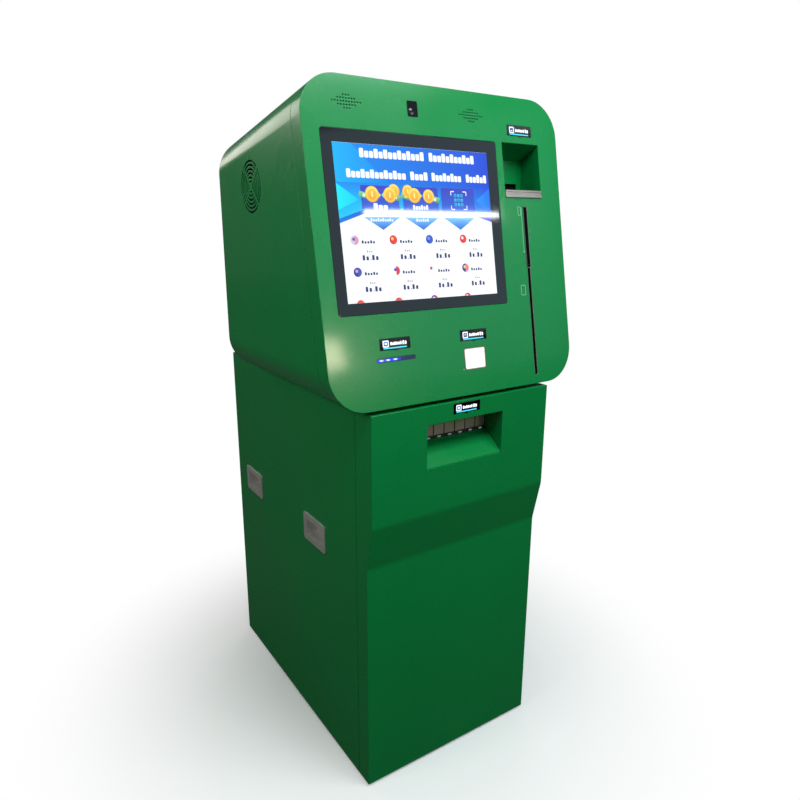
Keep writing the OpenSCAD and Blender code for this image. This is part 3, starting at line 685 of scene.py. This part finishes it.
front_half, back_half = wall_rings[:len(rounding)], wall_rings[len(rounding):]
flat_wall = [front_half[-1], back_half[0]]
inner_wall = inner_rings[:2]
head_shell = new_object("head_shell_skin", *joined(
    band(front_half), band(flat_wall, skip=left_edge), band(back_half), band(back_rings),
    band(inner_wall, skip=left_edge), band(inner_rings[1:] + [front_half[0]]), side_wall()), green_paint)
finish_sheet(head_shell)
stands_for(head_shell, "cabinet", "green_powder_coat", "head_shell")


# ---------------------------------------------------------------- lower door
# The lower door is one folded steel sheet whose lower part steps back behind a knee.
# Both bends of the knee are wide, and the edges fold back towards the cabinet all round.

DOOR_HALF, DOOR_TALL, DOOR_DEPTH = 242.0, 902.5, 64.5
KNEE_TOP, KNEE_FOOT, KNEE_SET, BEND_RADIUS = 658.0, 556.0, 22.0, 60.0
DOOR_FACE = np.array([0.0, *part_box("lower_door_panel")[0][1:]])
DOOR_SIGN = (0.0, 885.5)


def knee_profile(steps=6):
    """Heights and set-backs of the face: arcs z - r (sin a - tan(A / 2)), y + r (1 - cos a)."""
    slope = math.atan(KNEE_SET / (KNEE_TOP - KNEE_FOOT))
    a = np.linspace(0.0, slope, steps + 1)
    back = BEND_RADIUS * (1.0 - np.cos(a))
    drop = BEND_RADIUS * (np.sin(a) - math.tan(slope / 2.0))
    heights = np.concatenate([[0.0], KNEE_FOOT + drop, (KNEE_TOP - drop)[::-1], [DOOR_TALL]])
    return heights, np.concatenate([[KNEE_SET], KNEE_SET - back, back[::-1], [0.0]])


KNEE_Z, KNEE_Y = knee_profile()


def on_lower_door(points, depth=0.0):
    """Across x and up z on the door's face, set back by the knee's profile, plus a depth."""
    x, z = np.asarray(points, float).T
    return DOOR_FACE + MM * np.stack([x, np.interp(z, KNEE_Z, KNEE_Y) + depth, z], -1)


def door_outline():
    """A rectangle with small round corners and a point at every bend height on its sides."""
    ring = rounded(2 * DOOR_HALF, DOOR_TALL, 1.0, (0.0, DOOR_TALL / 2.0), 3)
    bends = KNEE_Z[1:-1]
    left = np.stack([np.full(len(bends), -DOOR_HALF), bends[::-1]], -1)
    right = np.stack([np.full(len(bends), DOOR_HALF), bends], -1)
    return np.concatenate([ring[:8], left, ring[8:], right])


RECESS_HALF = 104.5
lower_door = new_object("lower_door", *sheet_panel(
    door_outline(),
    [rounded(2 * RECESS_HALF, 99.0, 1.0, (0.0, 811.5), 3)[::-1], sign_outline(DOOR_SIGN, 0.3)[::-1]],
    on_lower_door, flange=lambda outline: DOOR_DEPTH - np.interp(outline[:, 1], KNEE_Z, KNEE_Y),
    lines=[((-DOOR_HALF + 1.2, z), (DOOR_HALF - 1.2, z)) for z in KNEE_Z[1:-1]]), green_paint)
finish_sheet(lower_door)
stands_for(lower_door, "lower_door", "green_powder_coat", "lower_door_panel")


# ---------------------------------------------------------------- cash recess
# The recess is a four-sided funnel of thin sheet, welded behind the door's opening and painted.
# Its floor rises and its ceiling drops towards the shutter.

RECESS_DEPTH = 59.0
FLOOR_FRONT, FLOOR_REAR, CEILING_FRONT, CEILING_REAR = 762.0, 805.0, 861.0, 837.0
HOOD_SHEET = 1.4


def recess_ring(depth, grow):
    """The funnel's section at a depth, clockwise, with floor and ceiling straight to the rear."""
    low = np.interp(depth, (0.0, RECESS_DEPTH), (FLOOR_FRONT, FLOOR_REAR)) - grow
    high = np.interp(depth, (0.0, RECESS_DEPTH), (CEILING_FRONT, CEILING_REAR)) + grow
    ring = rounded(2 * (RECESS_HALF + grow), high - low, 1.5, (0.0, (low + high) / 2.0), 3)[::-1]
    return DOOR_FACE + MM * np.stack([ring[:, 0], np.full(len(ring), depth), ring[:, 1]], -1)


cash_recess = new_object("cash_recess", *band([recess_ring(depth, grow) for depth, grow in (
    (SHEET, HOOD_SHEET), (SHEET, -0.1), (20.0, 0.0), (40.0, 0.0), (RECESS_DEPTH, 0.0),
    (RECESS_DEPTH, HOOD_SHEET), (SHEET, HOOD_SHEET))]), green_paint)
finish_sheet(cash_recess)
stands_for(cash_recess, "lower_door", "green_powder_coat", "dispenser_hood")


# ---------------------------------------------------------------- shutter
# The shutter is a stainless plate with seven pressed fields and a bright lip along their top.
# The narrow strips between the fields lie deeper and are painted black, as painted shade for the gaps between the
# fields.

FIELD_PITCH = 29.8
SHUTTER_FRONT, SHUTTER_REAR, FIELD_RISE, LIP_RISE = 60.4, 62.6, 0.7, 0.35


def smooth_step(x, width=0.4):
    """3 t^2 - 2 t^3 of x over a width either side of zero."""
    t = np.clip(x / (2.0 * width) + 0.5, 0.0, 1.0)
    return t * t * (3.0 - 2.0 * t)


def shutter_grid():
    """Depths front - rise f - lip l, where f is 1 on a field and l is 1 on its lip."""
    centres = FIELD_PITCH * np.arange(-3, 4)
    half = np.array([7.0, 13.1, 13.5, 13.9, 14.4])
    across = (centres[:, None] + np.concatenate([-half[::-1], [0.0], half])).reshape(-1)
    x = np.concatenate([[-108.6, -106.0], across, [106.0, 108.6]])
    z = np.array([812.3, 813.6, 813.9, 814.2, 818.0, 826.0, 834.0, 835.6, 835.9, 836.2, 837.2, 837.7,
                  838.0, 838.3, 842.0, 846.0])
    field = np.max([smooth_step(13.5 - np.abs(x - c)) for c in centres], 0)
    tall = smooth_step(z - 814.0) * smooth_step(838.0 - z)
    lip = smooth_step(z - 836.0) * smooth_step(838.0 - z)
    y = SHUTTER_FRONT - FIELD_RISE * np.outer(tall, field) - LIP_RISE * np.outer(lip, field)
    grid = np.stack([np.broadcast_to(x, y.shape), y, np.broadcast_to(z[:, None], y.shape)], -1)
    return grid, np.outer(tall, field)


shutter_face, on_field = shutter_grid()
rows, columns = on_field.shape
front_faces = [(r * columns + c, r * columns + c + 1, (r + 1) * columns + c + 1, (r + 1) * columns + c)
               for r in range(rows - 1) for c in range(columns - 1)]
border = np.concatenate([shutter_face[0, :-1], shutter_face[:-1, -1],
                         shutter_face[-1, :0:-1], shutter_face[:0:-1, 0]])
rear = border.copy()
rear[:, 1] = SHUTTER_REAR
# The shutter's steel is lighter, warmer and more diffuse than the plain stainless: painted warm light on the
# shutter.
shutter_steel_painted_warm_light = plated_metal("shutter_steel_painted_warm_light", (0.50, 0.41, 0.31, 1.0), (0.64, 0.53, 0.41, 1.0),
                             0.36, (1.0, 1.0, 0.04), metallic=0.55)
shutter = new_object("cash_shutter", *joined(
    (DOOR_FACE + MM * shutter_face.reshape(-1, 3), front_faces),
    band([DOOR_FACE + MM * border, DOOR_FACE + MM * rear]),
    (DOOR_FACE + MM * rear, [list(range(len(rear)))[::-1]])), shutter_steel_painted_warm_light, black_plastic)
# Faces in the strips between the fields take the black finish: painted shade for the gaps.
for face in shutter.data.polygons:
    from_gap = (face.center[0] / MM + FIELD_PITCH / 2.0) % FIELD_PITCH
    in_gap = from_gap < 1.5 or from_gap > FIELD_PITCH - 1.5
    if in_gap and face.center[1] < DOOR_FACE[1] + (SHUTTER_FRONT + 0.1) * MM:
        face.material_index = 1
finish_sheet(shutter)
stands_for(shutter, "shutter", "stainless_steel", "dispenser_shutter")


# ---------------------------------------------------------------- strip below the shutter, with painted highlights
# A black rubber-edged strip closes the gap below the shutter.
# Small ovals on its forward parts glow white, one in front of each field: painted highlights, not lamps.

OVAL_HALF = 4.5
SEAL_FRONT = 58.9


def sum_node(tree, operation, source, value):
    """A math node between a source socket and either a number or a second socket."""
    node = add_node(tree, "ShaderNodeMath", operation=operation)
    tree.links.new(source, node.inputs[0])
    if isinstance(value, float):
        node.inputs[1].default_value = value
    else:
        tree.links.new(value, node.inputs[1])
    return node.outputs[0]


seal_painted_highlights, seal_tree, seal_shader = node_material("seal_painted_highlights")
seal_shader.inputs["Base Color"].default_value = (0.012, 0.012, 0.012, 1.0)
seal_shader.inputs["Roughness"].default_value = 0.6
seal_shader.inputs["Emission Color"].default_value = (0.95, 0.97, 1.0, 1.0)
seal_place = add_node(seal_tree, "ShaderNodeTexCoord")
seal_axes = add_node(seal_tree, "ShaderNodeSeparateXYZ")
seal_tree.links.new(seal_place.outputs["Object"], seal_axes.inputs["Vector"])
# The glowing ovals are painted highlights on the seal's forward parts in front of each field.
off_centre = sum_node(seal_tree, "PINGPONG", seal_axes.outputs["X"], FIELD_PITCH / 2.0 * MM)
in_oval = sum_node(seal_tree, "LESS_THAN", off_centre, OVAL_HALF * MM)
proud = sum_node(seal_tree, "LESS_THAN", seal_axes.outputs["Y"], float(DOOR_FACE[1] + SEAL_FRONT * MM))
lit = sum_node(seal_tree, "MULTIPLY", in_oval, proud)
seal_tree.links.new(sum_node(seal_tree, "MULTIPLY", lit, 0.16), seal_shader.inputs["Emission Strength"])
recoat(frame["nodes"]["shutter_seal"], seal_painted_highlights)


# ---------------------------------------------------------------- touch glass
# The touch glass is a flush pane of toughened glass with a ground edge.
# Its back is printed near-black round the picture, so only the picture lights up.

def srgb(red, green, blue):
    """Turns 0 to 255 display values into linear light: ((c + 0.055) / 1.055) ^ 2.4."""
    c = np.array([red, green, blue]) / 255.0
    return np.where(c <= 0.04045, c / 12.92, ((c + 0.055) / 1.055) ** 2.4)


black_glass, glass_tree, glass_shader = node_material("black_glass")
vary(glass_tree, surface_noise(glass_tree, 3.0, 2.0),
     (0.0075, 0.0085, 0.0105, 1.0), (0.0095, 0.0105, 0.013, 1.0), glass_shader.inputs["Base Color"])
vary(glass_tree, surface_noise(glass_tree, 60.0, 3.0), 0.045, 0.065,
     glass_shader.inputs["Roughness"])
glass_shader.inputs["IOR"].default_value = 1.52
touch_glass = new_object("touch_pane", *sheet_panel(
    GLASS, [], on_face, thickness=5.0, radius=0.5), black_glass)
finish_sheet(touch_glass)
stands_for(touch_glass, "head_door", "black_glass", "touch_glass")


# ---------------------------------------------------------------- lit shapes
# Every lit picture is a stack of flat printed shapes, each a few hundredths of a millimetre
# in front of the one below, with its colours stored on the points and glowing through gloss.

LAYER = 0.03


def lit_material(name, strength, roughness=0.05):
    """Gloss over a glow: the colour stored on the points is given off as light."""
    material, tree, shader = node_material(name)
    stored = add_node(tree, "ShaderNodeAttribute", attribute_name="tone")
    tree.links.new(stored.outputs["Color"], shader.inputs["Emission Color"])
    dark = add_node(tree, "ShaderNodeMix", data_type="RGBA")
    dark.inputs["Factor"].default_value = 0.06
    dark.inputs["A"].default_value = (0.008, 0.008, 0.01, 1.0)
    tree.links.new(stored.outputs["Color"], dark.inputs["B"])
    tree.links.new(dark.outputs["Result"], shader.inputs["Base Color"])
    grain = surface_noise(tree, 4200.0, 1.0)
    vary(tree, grain, strength * 0.97, strength * 1.03, shader.inputs["Emission Strength"])
    shader.inputs["Roughness"].default_value = roughness
    shader.inputs["IOR"].default_value = 1.52
    return material


def shape(outline, colour, layer, far=None, axis=1):
    """A filled outline; with far given the colour runs along the axis from colour to far."""
    flat, faces = fill(np.asarray(outline, float))
    low, high = flat[:, axis].min(), flat[:, axis].max()
    share = ((flat[:, axis] - low) / (high - low))[:, None]
    ends = srgb(*colour), srgb(*(far or colour))
    return flat, faces, ends[0] * (1.0 - share) + ends[1] * share, layer


def bar(left, right, low, high, colour, layer, radius=None, far=None, axis=1):
    """A rectangle with round corners; without a radius its short ends are half circles."""
    radius = min(right - left, high - low) / 2.0 - 0.01 if radius is None else radius
    outline = rounded(right - left, high - low, radius, ((left + right) / 2.0, (low + high) / 2.0), 3)
    return shape(outline, colour, layer, far, axis)


def words(left, right, low, high, colour, layer, pitch, filled):
    """A row of blunt marks of uneven height between two ends, in place of a word."""
    count = max(1, round((right - left) / pitch))
    step = (right - left) / count
    marks = []
    for k in range(count):
        start, end = left + k * step, left + (k + filled) * step
        top = high - (0.0, 0.26, 0.26, 0.0, 0.26)[k % 5] * (high - low)
        marks.append(bar(start, end, low, top, colour, layer, 0.24 * (end - start)))
    return marks


def nearest_tone(points, tones, at):
    """The tone of the point that lies closest."""
    return tones[np.argmin(((points - np.array(at)) ** 2).sum(1))]


def lit_object(name, shapes, place, front, material, offset=(0.0, 0.0)):
    """Makes one mesh of all shapes, each layer further forward, and stores their colours."""
    parts = [(place(flat + offset, front - LAYER * layer), faces) for flat, faces, _, layer in shapes]
    points, faces = joined(*parts)
    obj = new_object(name, points, faces, material, merge=1e-9)
    tones = np.concatenate([colours for _, _, colours, _ in shapes])
    stored = obj.data.color_attributes.new("tone", "FLOAT_COLOR", "POINT")
    wanted = {tuple(np.round(p, 7)): tone for p, tone in zip(points, tones)}
    for vertex, entry in zip(obj.data.vertices, stored.data):
        key = tuple(np.round(np.array(vertex.co), 7))
        tone = wanted[key] if key in wanted else nearest_tone(points, tones, vertex.co)
        entry.color = (*tone, 1.0)
    return obj


# ---------------------------------------------------------------- screen picture
# The picture of the display: a blue header with two rows of blunt marks, three tiles with
# coins, three pointers, and a white field with a grid of round badges and small marks.

WIDE, TALL = 376.3, 301.1
WHITE = (250, 252, 255)
FIELD = (246, 249, 253)
NAVY = (52, 52, 104)
GREY = (165, 165, 180)


def coin(x, y, radius, layer):
    """A gold disc with a darker rim, a pale ring and a deeper centre."""
    return [shape(circle(radius, (x, y), 32), (236, 158, 22), layer, (255, 216, 70)),
            shape(circle(radius * 0.86, (x, y), 32), (255, 196, 44), layer + 1, (255, 232, 110)),
            shape(circle(radius * 0.68, (x, y), 28), (240, 166, 30), layer + 2, (252, 200, 66)),
            bar(x - radius * 0.10, x + radius * 0.12, y - radius * 0.38, y + radius * 0.38,
                (255, 236, 150), layer + 3)]


def note(x, y, layer):
    """A tilted green banknote with a pale disc."""
    return [shape([[x - 13, y - 2], [x + 9, y - 8], [x + 13, y + 3], [x - 9, y + 8]],
                  (52, 146, 96), layer, (150, 214, 150)),
            shape(circle(3.4, (x, y), 16), (226, 246, 226), layer + 1)]


def bow(x, y, layer):
    """Two triangles that meet, yellow on the left and pale green on the right."""
    return [shape([[x - 6.5, y + 6], [x - 6.5, y - 6], [x - 0.5, y]], (255, 214, 70), layer),
            shape([[x + 6.5, y + 6], [x + 0.5, y], [x + 6.5, y - 6]], (150, 220, 190), layer)]


def flag_disc(x, y, left, right, dot, layer):
    """A disc in two tones with a small third mark, for a round badge in a list."""
    whole = circle(9.0, (x, y), 28)
    half = whole[whole[:, 0] >= x - 0.01]
    half = half[np.argsort(np.arctan2(half[:, 1] - y, half[:, 0] - x))]
    out = [shape(whole, left, layer), shape(half, right, layer + 1)]
    return out + [shape(circle(3.2, (x - 2.0, y + 2.0), 14), dot, layer + 2)]


def pointer(left, right, foot, layer):
    """A blue triangle that points down, paler at its top."""
    return shape([left, foot, right], (36, 92, 214), layer, (120, 196, 250))


def clipped(shapes):
    """Moves points below the picture's foot up to it."""
    out = []
    for flat, faces, colours, layer in shapes:
        flat = flat.copy()
        flat[:, 1] = np.maximum(flat[:, 1], 0.2)
        area = flat[faces]
        a, b, c = area[:, 0], area[:, 1], area[:, 2]
        turn = (b - a)[:, 0] * (c - a)[:, 1] - (b - a)[:, 1] * (c - a)[:, 0]
        out.append((flat, faces[turn > 1e-6], colours, layer))
    return out


header = [(0.0, TALL), (0.0, 151.4), (54.4, 169.4), (336.9, 165.2), (WIDE, 154.7), (WIDE, TALL)]
header_low = header[1:5] + [(WIDE, 228.0), (0.0, 228.0)]
picture = [
    shape(rounded(WIDE, TALL, 0.5, (WIDE / 2, TALL / 2), 2), FIELD, 1, WHITE, 0),
    shape(header_low, (0, 206, 255), 2, (38, 128, 246), 0),
    shape([(0, 228), (WIDE, 228), (WIDE, TALL - 0.2), (0, TALL - 0.2)],
          (0, 140, 238), 2, (22, 66, 214), 0),
    shape([(0, 228), (118, 228), (40, TALL - 0.2), (0, TALL - 0.2)],
          (0, 176, 250), 3, (0, 128, 232), 0),
    shape([(0, 176), (46, 196), (0, 226)], (0, 232, 255), 3, (0, 200, 255), 0),
    shape([(WIDE, 170), (WIDE, 226), (338, 200)], (30, 150, 255), 3, (10, 110, 240), 0),
    shape([(0, 151.4), (54.4, 169.4), (54.4, 177), (0, 160)], (0, 120, 220), 4, (20, 90, 214), 0),
    shape([(336.9, 165.2), (WIDE, 154.7), (WIDE, 166)], (90, 70, 200), 4, (60, 90, 220), 0),
]
for left, right in ((57.0, 209.6), (220.9, 340.4)):
    picture += words(left, right, 275.5, 293.0, WHITE, 5, 11.0, 0.86)
for left, right in ((24.4, 161.3), (171.0, 215.0), (224.0, 301.8), (313.9, 371.0)):
    picture += words(left, right, 237.0, 253.5, WHITE, 5, 10.2, 0.86)
for left, right in ((51.6, 138.5), (148.0, 235.6), (244.0, 332.0)):
    picture.append(bar(left, right, 173.4, 223.7, (20, 92, 214), 5, 4.0, (58, 60, 190)))
for x, y in ((58.5, 204.7), (131.1, 202.0), (155.7, 204.3), (227.5, 199.8)):
    picture += note(x, y, 6)
for x, y, radius, layer in ((128.0, 214.7, 13.0, 8), (117.8, 206.2, 15.0, 12), (76.8, 206.9, 15.5, 12),
                            (161.2, 214.2, 13.0, 8), (176.4, 206.5, 15.0, 12), (211.8, 205.6, 14.0, 12)):
    picture += coin(x, y, radius, layer)
picture += bow(97.4, 205.7, 12) + bow(195.8, 206.3, 12)
picture += words(78.0, 112.0, 177.0, 190.0, WHITE, 7, 11.5, 0.84)
picture += words(171.0, 209.6, 179.0, 188.0, WHITE, 7, 6.4, 0.80)
for x, y, sx, sy in ((269.8, 217.1, 1, -1), (310.5, 217.1, -1, -1),
                     (269.0, 180.4, 1, 1), (310.4, 180.7, -1, 1)):
    picture += [bar(min(x, x + 9 * sx), max(x, x + 9 * sx), y - 1.0, y + 1.0, WHITE, 7, 0.6),
                bar(x - 1.0, x + 1.0, min(y, y + 8 * sy), max(y, y + 8 * sy), WHITE, 7, 0.6)]
for column in range(3):
    for row in range(3):
        x, y = 277.5 + 8.6 * column, 187.0 + 9.2 * row
        picture.append(bar(x, x + 6.6, y, y + 6.6, (40, 160, 214), 7, 1.8, (56, 200, 224)))
        if (column + row) % 2 == 0:
            picture.append(bar(x + 2.0, x + 4.6, y + 2.0, y + 4.6, (30, 70, 190), 8, 0.6))
picture += [pointer((53.7, 163.3), (138.3, 163.9), (95.5, 138.8), 6),
            pointer((148.9, 163.2), (233.6, 163.1), (192.2, 138.5), 6),
            pointer((246.1, 163.1), (330.3, 163.7), (288.4, 138.1), 6)]
picture += words(68.0, 122.0, 155.0, 161.0, (236, 244, 255), 7, 5.4, 0.78)
picture += words(176.0, 208.0, 155.0, 161.0, (236, 244, 255), 7, 5.4, 0.78)
discs = [((214, 200, 226), (226, 150, 170), (90, 96, 190)),
         ((222, 46, 42), (226, 62, 50), (250, 206, 90)),
         ((36, 74, 196), (50, 92, 206), (120, 150, 236)),
         ((224, 44, 50), (228, 60, 60), (252, 240, 240)),
         ((44, 62, 150), (60, 84, 176), (236, 150, 170)),
         ((246, 248, 252), (222, 52, 62), (40, 78, 214)),
         ((244, 246, 250), (240, 242, 248), (190, 60, 90)),
         ((60, 60, 150), (226, 130, 140), (250, 214, 90)),
         ((226, 60, 60), (230, 80, 80), (226, 60, 60)),
         ((226, 60, 60), (230, 80, 80), (226, 60, 60)),
         ((40, 60, 180), (220, 50, 60), (250, 250, 250)),
         ((224, 60, 66), (226, 80, 86), (250, 250, 250))]
for k, tones in enumerate(discs):
    x, y = 28.0 + 88.3 * (k % 4), (119.5, 59.0, -3.0)[k // 4]
    marks = flag_disc(x, y, *tones, 3)
    if k < 8:
        marks += words(x + 15.5, x + 47.0, y - 6.5, y - 0.5, NAVY, 3, 6.3, 0.66)
        marks += words(x + 25.0, x + 39.0, y - 23.5, y - 19.5, GREY, 3, 4.7, 0.6)
        marks += words(x + 14.0, x + 31.0, y - 38.5, y - 28.5, NAVY, 3, 8.5, 0.62)
        marks += [shape(circle(1.1, (x + 32.5, y - 37.4), 10), NAVY, 3)]
        marks += words(x + 35.5, x + 53.0, y - 38.5, y - 28.5, NAVY, 3, 8.5, 0.62)
    picture += clipped(marks)
display_light = lit_material("display_light", 1.0)
display = lit_object("screen_picture", picture, on_face, 0.0, display_light, (-267.0, 213.5))
stands_for(display, "head_door", "black_glass")


# ---------------------------------------------------------------- lit signs
# Each sign is a dark glossy lens in its cut-out, with a white emblem, a row of white marks
# and a cyan line below them. A small pointed tab hangs from the lower edge.

sign_lens, lens_tree, lens_shader = node_material("sign_lens")
vary(lens_tree, surface_noise(lens_tree, 30.0, 2.0),
     (0.012, 0.010, 0.022, 1.0), (0.020, 0.018, 0.034, 1.0), lens_shader.inputs["Base Color"])
lens_shader.inputs["Roughness"].default_value = 0.16
sign_light = lit_material("sign_light", 1.35, 0.16)


def sign_shapes(emblem):
    """A white emblem at the left, eight white marks of uneven height and a cyan line."""
    out = [bar(-29.5, -15.0, -5.6, 8.2, (226, 232, 255), 1, 1.6)]
    out.append(bar(-27.0, -17.5, -3.0, 5.4, (60, 50, 110), 2, 1.0))
    out.append(bar(-25.0, -19.5, emblem[0], emblem[1], (240, 244, 255), 3, 0.8))
    for k, tall in enumerate((6.6, 5.4, 6.6, 6.0, 5.4, 6.6)):
        out.append(bar(-11.5 + 4.6 * k, -7.7 + 4.6 * k, -2.4, -2.4 + tall, WHITE, 1, 1.2))
    for k, tall in enumerate((8.0, 7.0)):
        out.append(bar(17.5 + 5.6 * k, 21.6 + 5.6 * k, -3.0, -3.0 + tall, WHITE, 1, 1.4))
    out.append(bar(-28.6, 27.4, -9.0, -6.6, (36, 196, 232), 1, 0.9, (84, 232, 246)))
    return out


def lit_sign(name, centre, place, body, emblem):
    """A lens and its glowing marks, both riding on one door."""
    lens = new_object(name + "_lens", *sheet_panel(
        sign_outline(centre), [], place, thickness=3.0, radius=0.5), sign_lens)
    finish_sheet(lens)
    stands_for(lens, body, "sign_lens")
    glow = lit_object(name + "_glow", sign_shapes(emblem), place, 0.0, sign_light, centre)
    stands_for(glow, body, "sign_lens")


lit_sign("door_sign", DOOR_SIGN, on_lower_door, "lower_door", (-0.8, 3.4))
for name, centre, emblem in zip(("scanner_sign", "receipt_sign", "barcode_sign"), HEAD_SIGNS,
                                ((-1.2, 0.6), (-0.6, 3.6), (1.0, 2.4))):
    lit_sign(name, centre, on_face, "head_door", emblem)


# ---------------------------------------------------------------- receipt slot
# The mouth of the receipt printer is a black moulded frame with a thin slit.
# Blue light fills its left part, with three bright points, and fades to the right.

GLOW_DEPTH = 0.15
blue = [bar(-45.2, 45.2, -3.4, 3.4, (0, 14, 170), 1, 1.0, (0, 6, 50), 0),
        bar(-44.5, 10.0, -2.6, 2.6, (0, 30, 245), 2, 0.9, (0, 20, 215), 0)]
for x in (-36.0, -20.0, -3.0):
    blue += [bar(x - 6.0, x + 6.0, -1.9, 1.9, (90, 150, 255), 3),
             bar(x - 3.2, x + 3.2, -1.2, 1.2, (235, 244, 255), 4)]
blue.append(bar(12.0, 44.0, -1.7, 1.7, (4, 10, 70), 3, 0.8, (2, 6, 30), 0))
receipt_light = lit_object("receipt_glow", blue, on_face, GLOW_DEPTH,
                           lit_material("receipt_light", 1.2, 0.2), RECEIPT)
stands_for(receipt_light, "head_door", "black_plastic")


# ---------------------------------------------------------------- barcode window
# The barcode reader looks out through a frosted pane in a thin grey rim, lit from behind.
# A small grey dot beside it is the reader's indicator.

barcode_pane = [bar(-28.6, 28.6, -22.8, 22.8, (146, 134, 122), 1, 3.4, (170, 160, 148)),
                bar(-26.6, 26.6, -20.8, 20.8, (255, 252, 246), 2, 2.6, (255, 255, 255)),
                shape(circle(1.7, (-33.4, -21.3), 16), (128, 132, 140), 1)]
pane = lit_object("barcode_glow", barcode_pane, on_face, GLOW_DEPTH,
                  lit_material("barcode_light", 1.25, 0.3), WINDOW)
stands_for(pane, "head_door", "black_plastic")


# ---------------------------------------------------------------- camera lens
# Behind the small dark window the camera's lens shows as a glossy dome in a ridged ring.

CAMERA_LENS = (-79.7, 585.0)


def dome(centre, radii, depths, sides=32):
    """Rings of the given radii and depths about a centre on the face, closed at the middle."""
    rings = [on_face(circle(r, centre, sides), d) for r, d in zip(radii, depths)]
    points, faces = band(rings)
    return points, faces + [tuple(range(len(points) - sides, len(points)))]


lens = new_object("camera_lens", *dome(
    CAMERA_LENS, (6.4, 6.4, 5.9, 5.5, 5.2, 4.6, 3.4, 1.6),
    (0.30, 0.05, -0.05, 0.02, 0.16, 0.02, -0.12, -0.2)), black_glass)
finish_sheet(lens)
stands_for(lens, "head_door", "black_glass")


# ---------------------------------------------------------------- swipe slot bezel
# A thin satin-grey frame lines the wide upper part of the card slot, and slopes into it.
# Below it a narrower frame with round ends lines the long lower part.

def bezel(wide, tall, radius, centre, rim, front):
    """Rings from the frame's outer foot over its flat top and down a slope into the slot."""
    rings = []
    for inset, depth in ((0.0, front + 0.35), (0.15, front), (rim * 0.45, front),
                         (rim, front + 0.5), (rim + 0.1, 0.9)):
        ring = rounded(wide - 2 * inset, tall - 2 * inset, max(radius - inset, 0.3), centre, 5)
        rings.append(on_face(ring, depth))
    return band(rings)


swipe_bezel = new_object("swipe_bezel", *joined(
    bezel(12.4, 137.0, 0.9, (COLUMN, 334.5), 1.5, -0.75),
    bezel(9.6, 254.0, 4.7, (COLUMN, 147.0), 0.9, 0.1)),
    moulded("satin_grey", (0.20, 0.20, 0.18, 1.0), (0.28, 0.28, 0.26, 1.0), 0.35, 1400.0, 0.05))
finish_sheet(swipe_bezel)
stands_for(swipe_bezel, "head_door", "black_plastic")
# A near-black with almost no sheen: painted shade inside the card slot and behind the ID pocket.
slot_black_painted_shade = moulded("slot_black_painted_shade", (0.0012, 0.0012, 0.0012, 1.0), (0.0020, 0.0020, 0.0020, 1.0),
                     0.85, 900.0, 0.05, 0.1)


# ---------------------------------------------------------------- finishes of their own
# Five carried-over pieces differ from their material slot: the slot's inside and the scanner are
# a sheenless near-black, painted shade for the dark inside, the camera's window is glass, and the
# handles and the recess's lip are duller steel.

handle_steel = plated_metal("handle_steel", (0.56, 0.56, 0.53, 1.0), (0.68, 0.68, 0.65, 1.0),
                            0.36, (1.0, 0.04, 1.0), metallic=0.6)
lip_steel = plated_metal("lip_steel", (0.36, 0.31, 0.28, 1.0), (0.44, 0.385, 0.35, 1.0),
                         0.38, (0.03, 1.0, 1.0), metallic=0.85)
for name, finish in (("swipe_reader", slot_black_painted_shade), ("id_scanner_unit", slot_black_painted_shade),
                     ("camera_module", black_glass), ("pull_handle_cups", handle_steel),
                     ("id_scanner_lip", lip_steel)):
    recoat(frame["nodes"][name], finish)


# ---------------------------------------------------------------- printed guide marks
# Beside the swipe slot a card outline, an arrow line and a second card outline are printed
# in pale green ink straight on the paint.

def outline_mark(left, right, low, high, radius, width):
    """A rounded frame made of two outlines with a strip of print between them."""
    wide, tall = right - left, high - low
    centre = ((left + right) / 2.0, (low + high) / 2.0)
    outer = rounded(wide, tall, radius, centre, 4)
    inner = rounded(wide - 2 * width, tall - 2 * width, max(radius - width, 0.2), centre, 4)
    return band([on_face(inner, INK_FRONT), on_face(outer, INK_FRONT)])


INK_FRONT = -0.03
arrow_line = rounded(1.0, 101.0, 0.3, (200.0, 350.5), 2)
arrow_head = np.array([[197.6, 304.5], [200.0, 299.0], [202.4, 304.5]])
print_ink = moulded("print_ink", (0.30, 0.62, 0.42, 1.0), (0.36, 0.68, 0.48, 1.0), 0.4, 900.0, 0.05)
marks = [outline_mark(189.5, 198.0, 383.0, 402.5, 1.2, 0.9),
         outline_mark(182.0, 196.0, 205.0, 228.0, 2.6, 1.1)]
for outline in (arrow_line, arrow_head):
    flat, faces = fill(outline)
    marks.append((on_face(flat, INK_FRONT), faces))
guide_marks = new_object("guide_marks", *joined(*marks), print_ink)
stands_for(guide_marks, "head_door", "green_powder_coat")
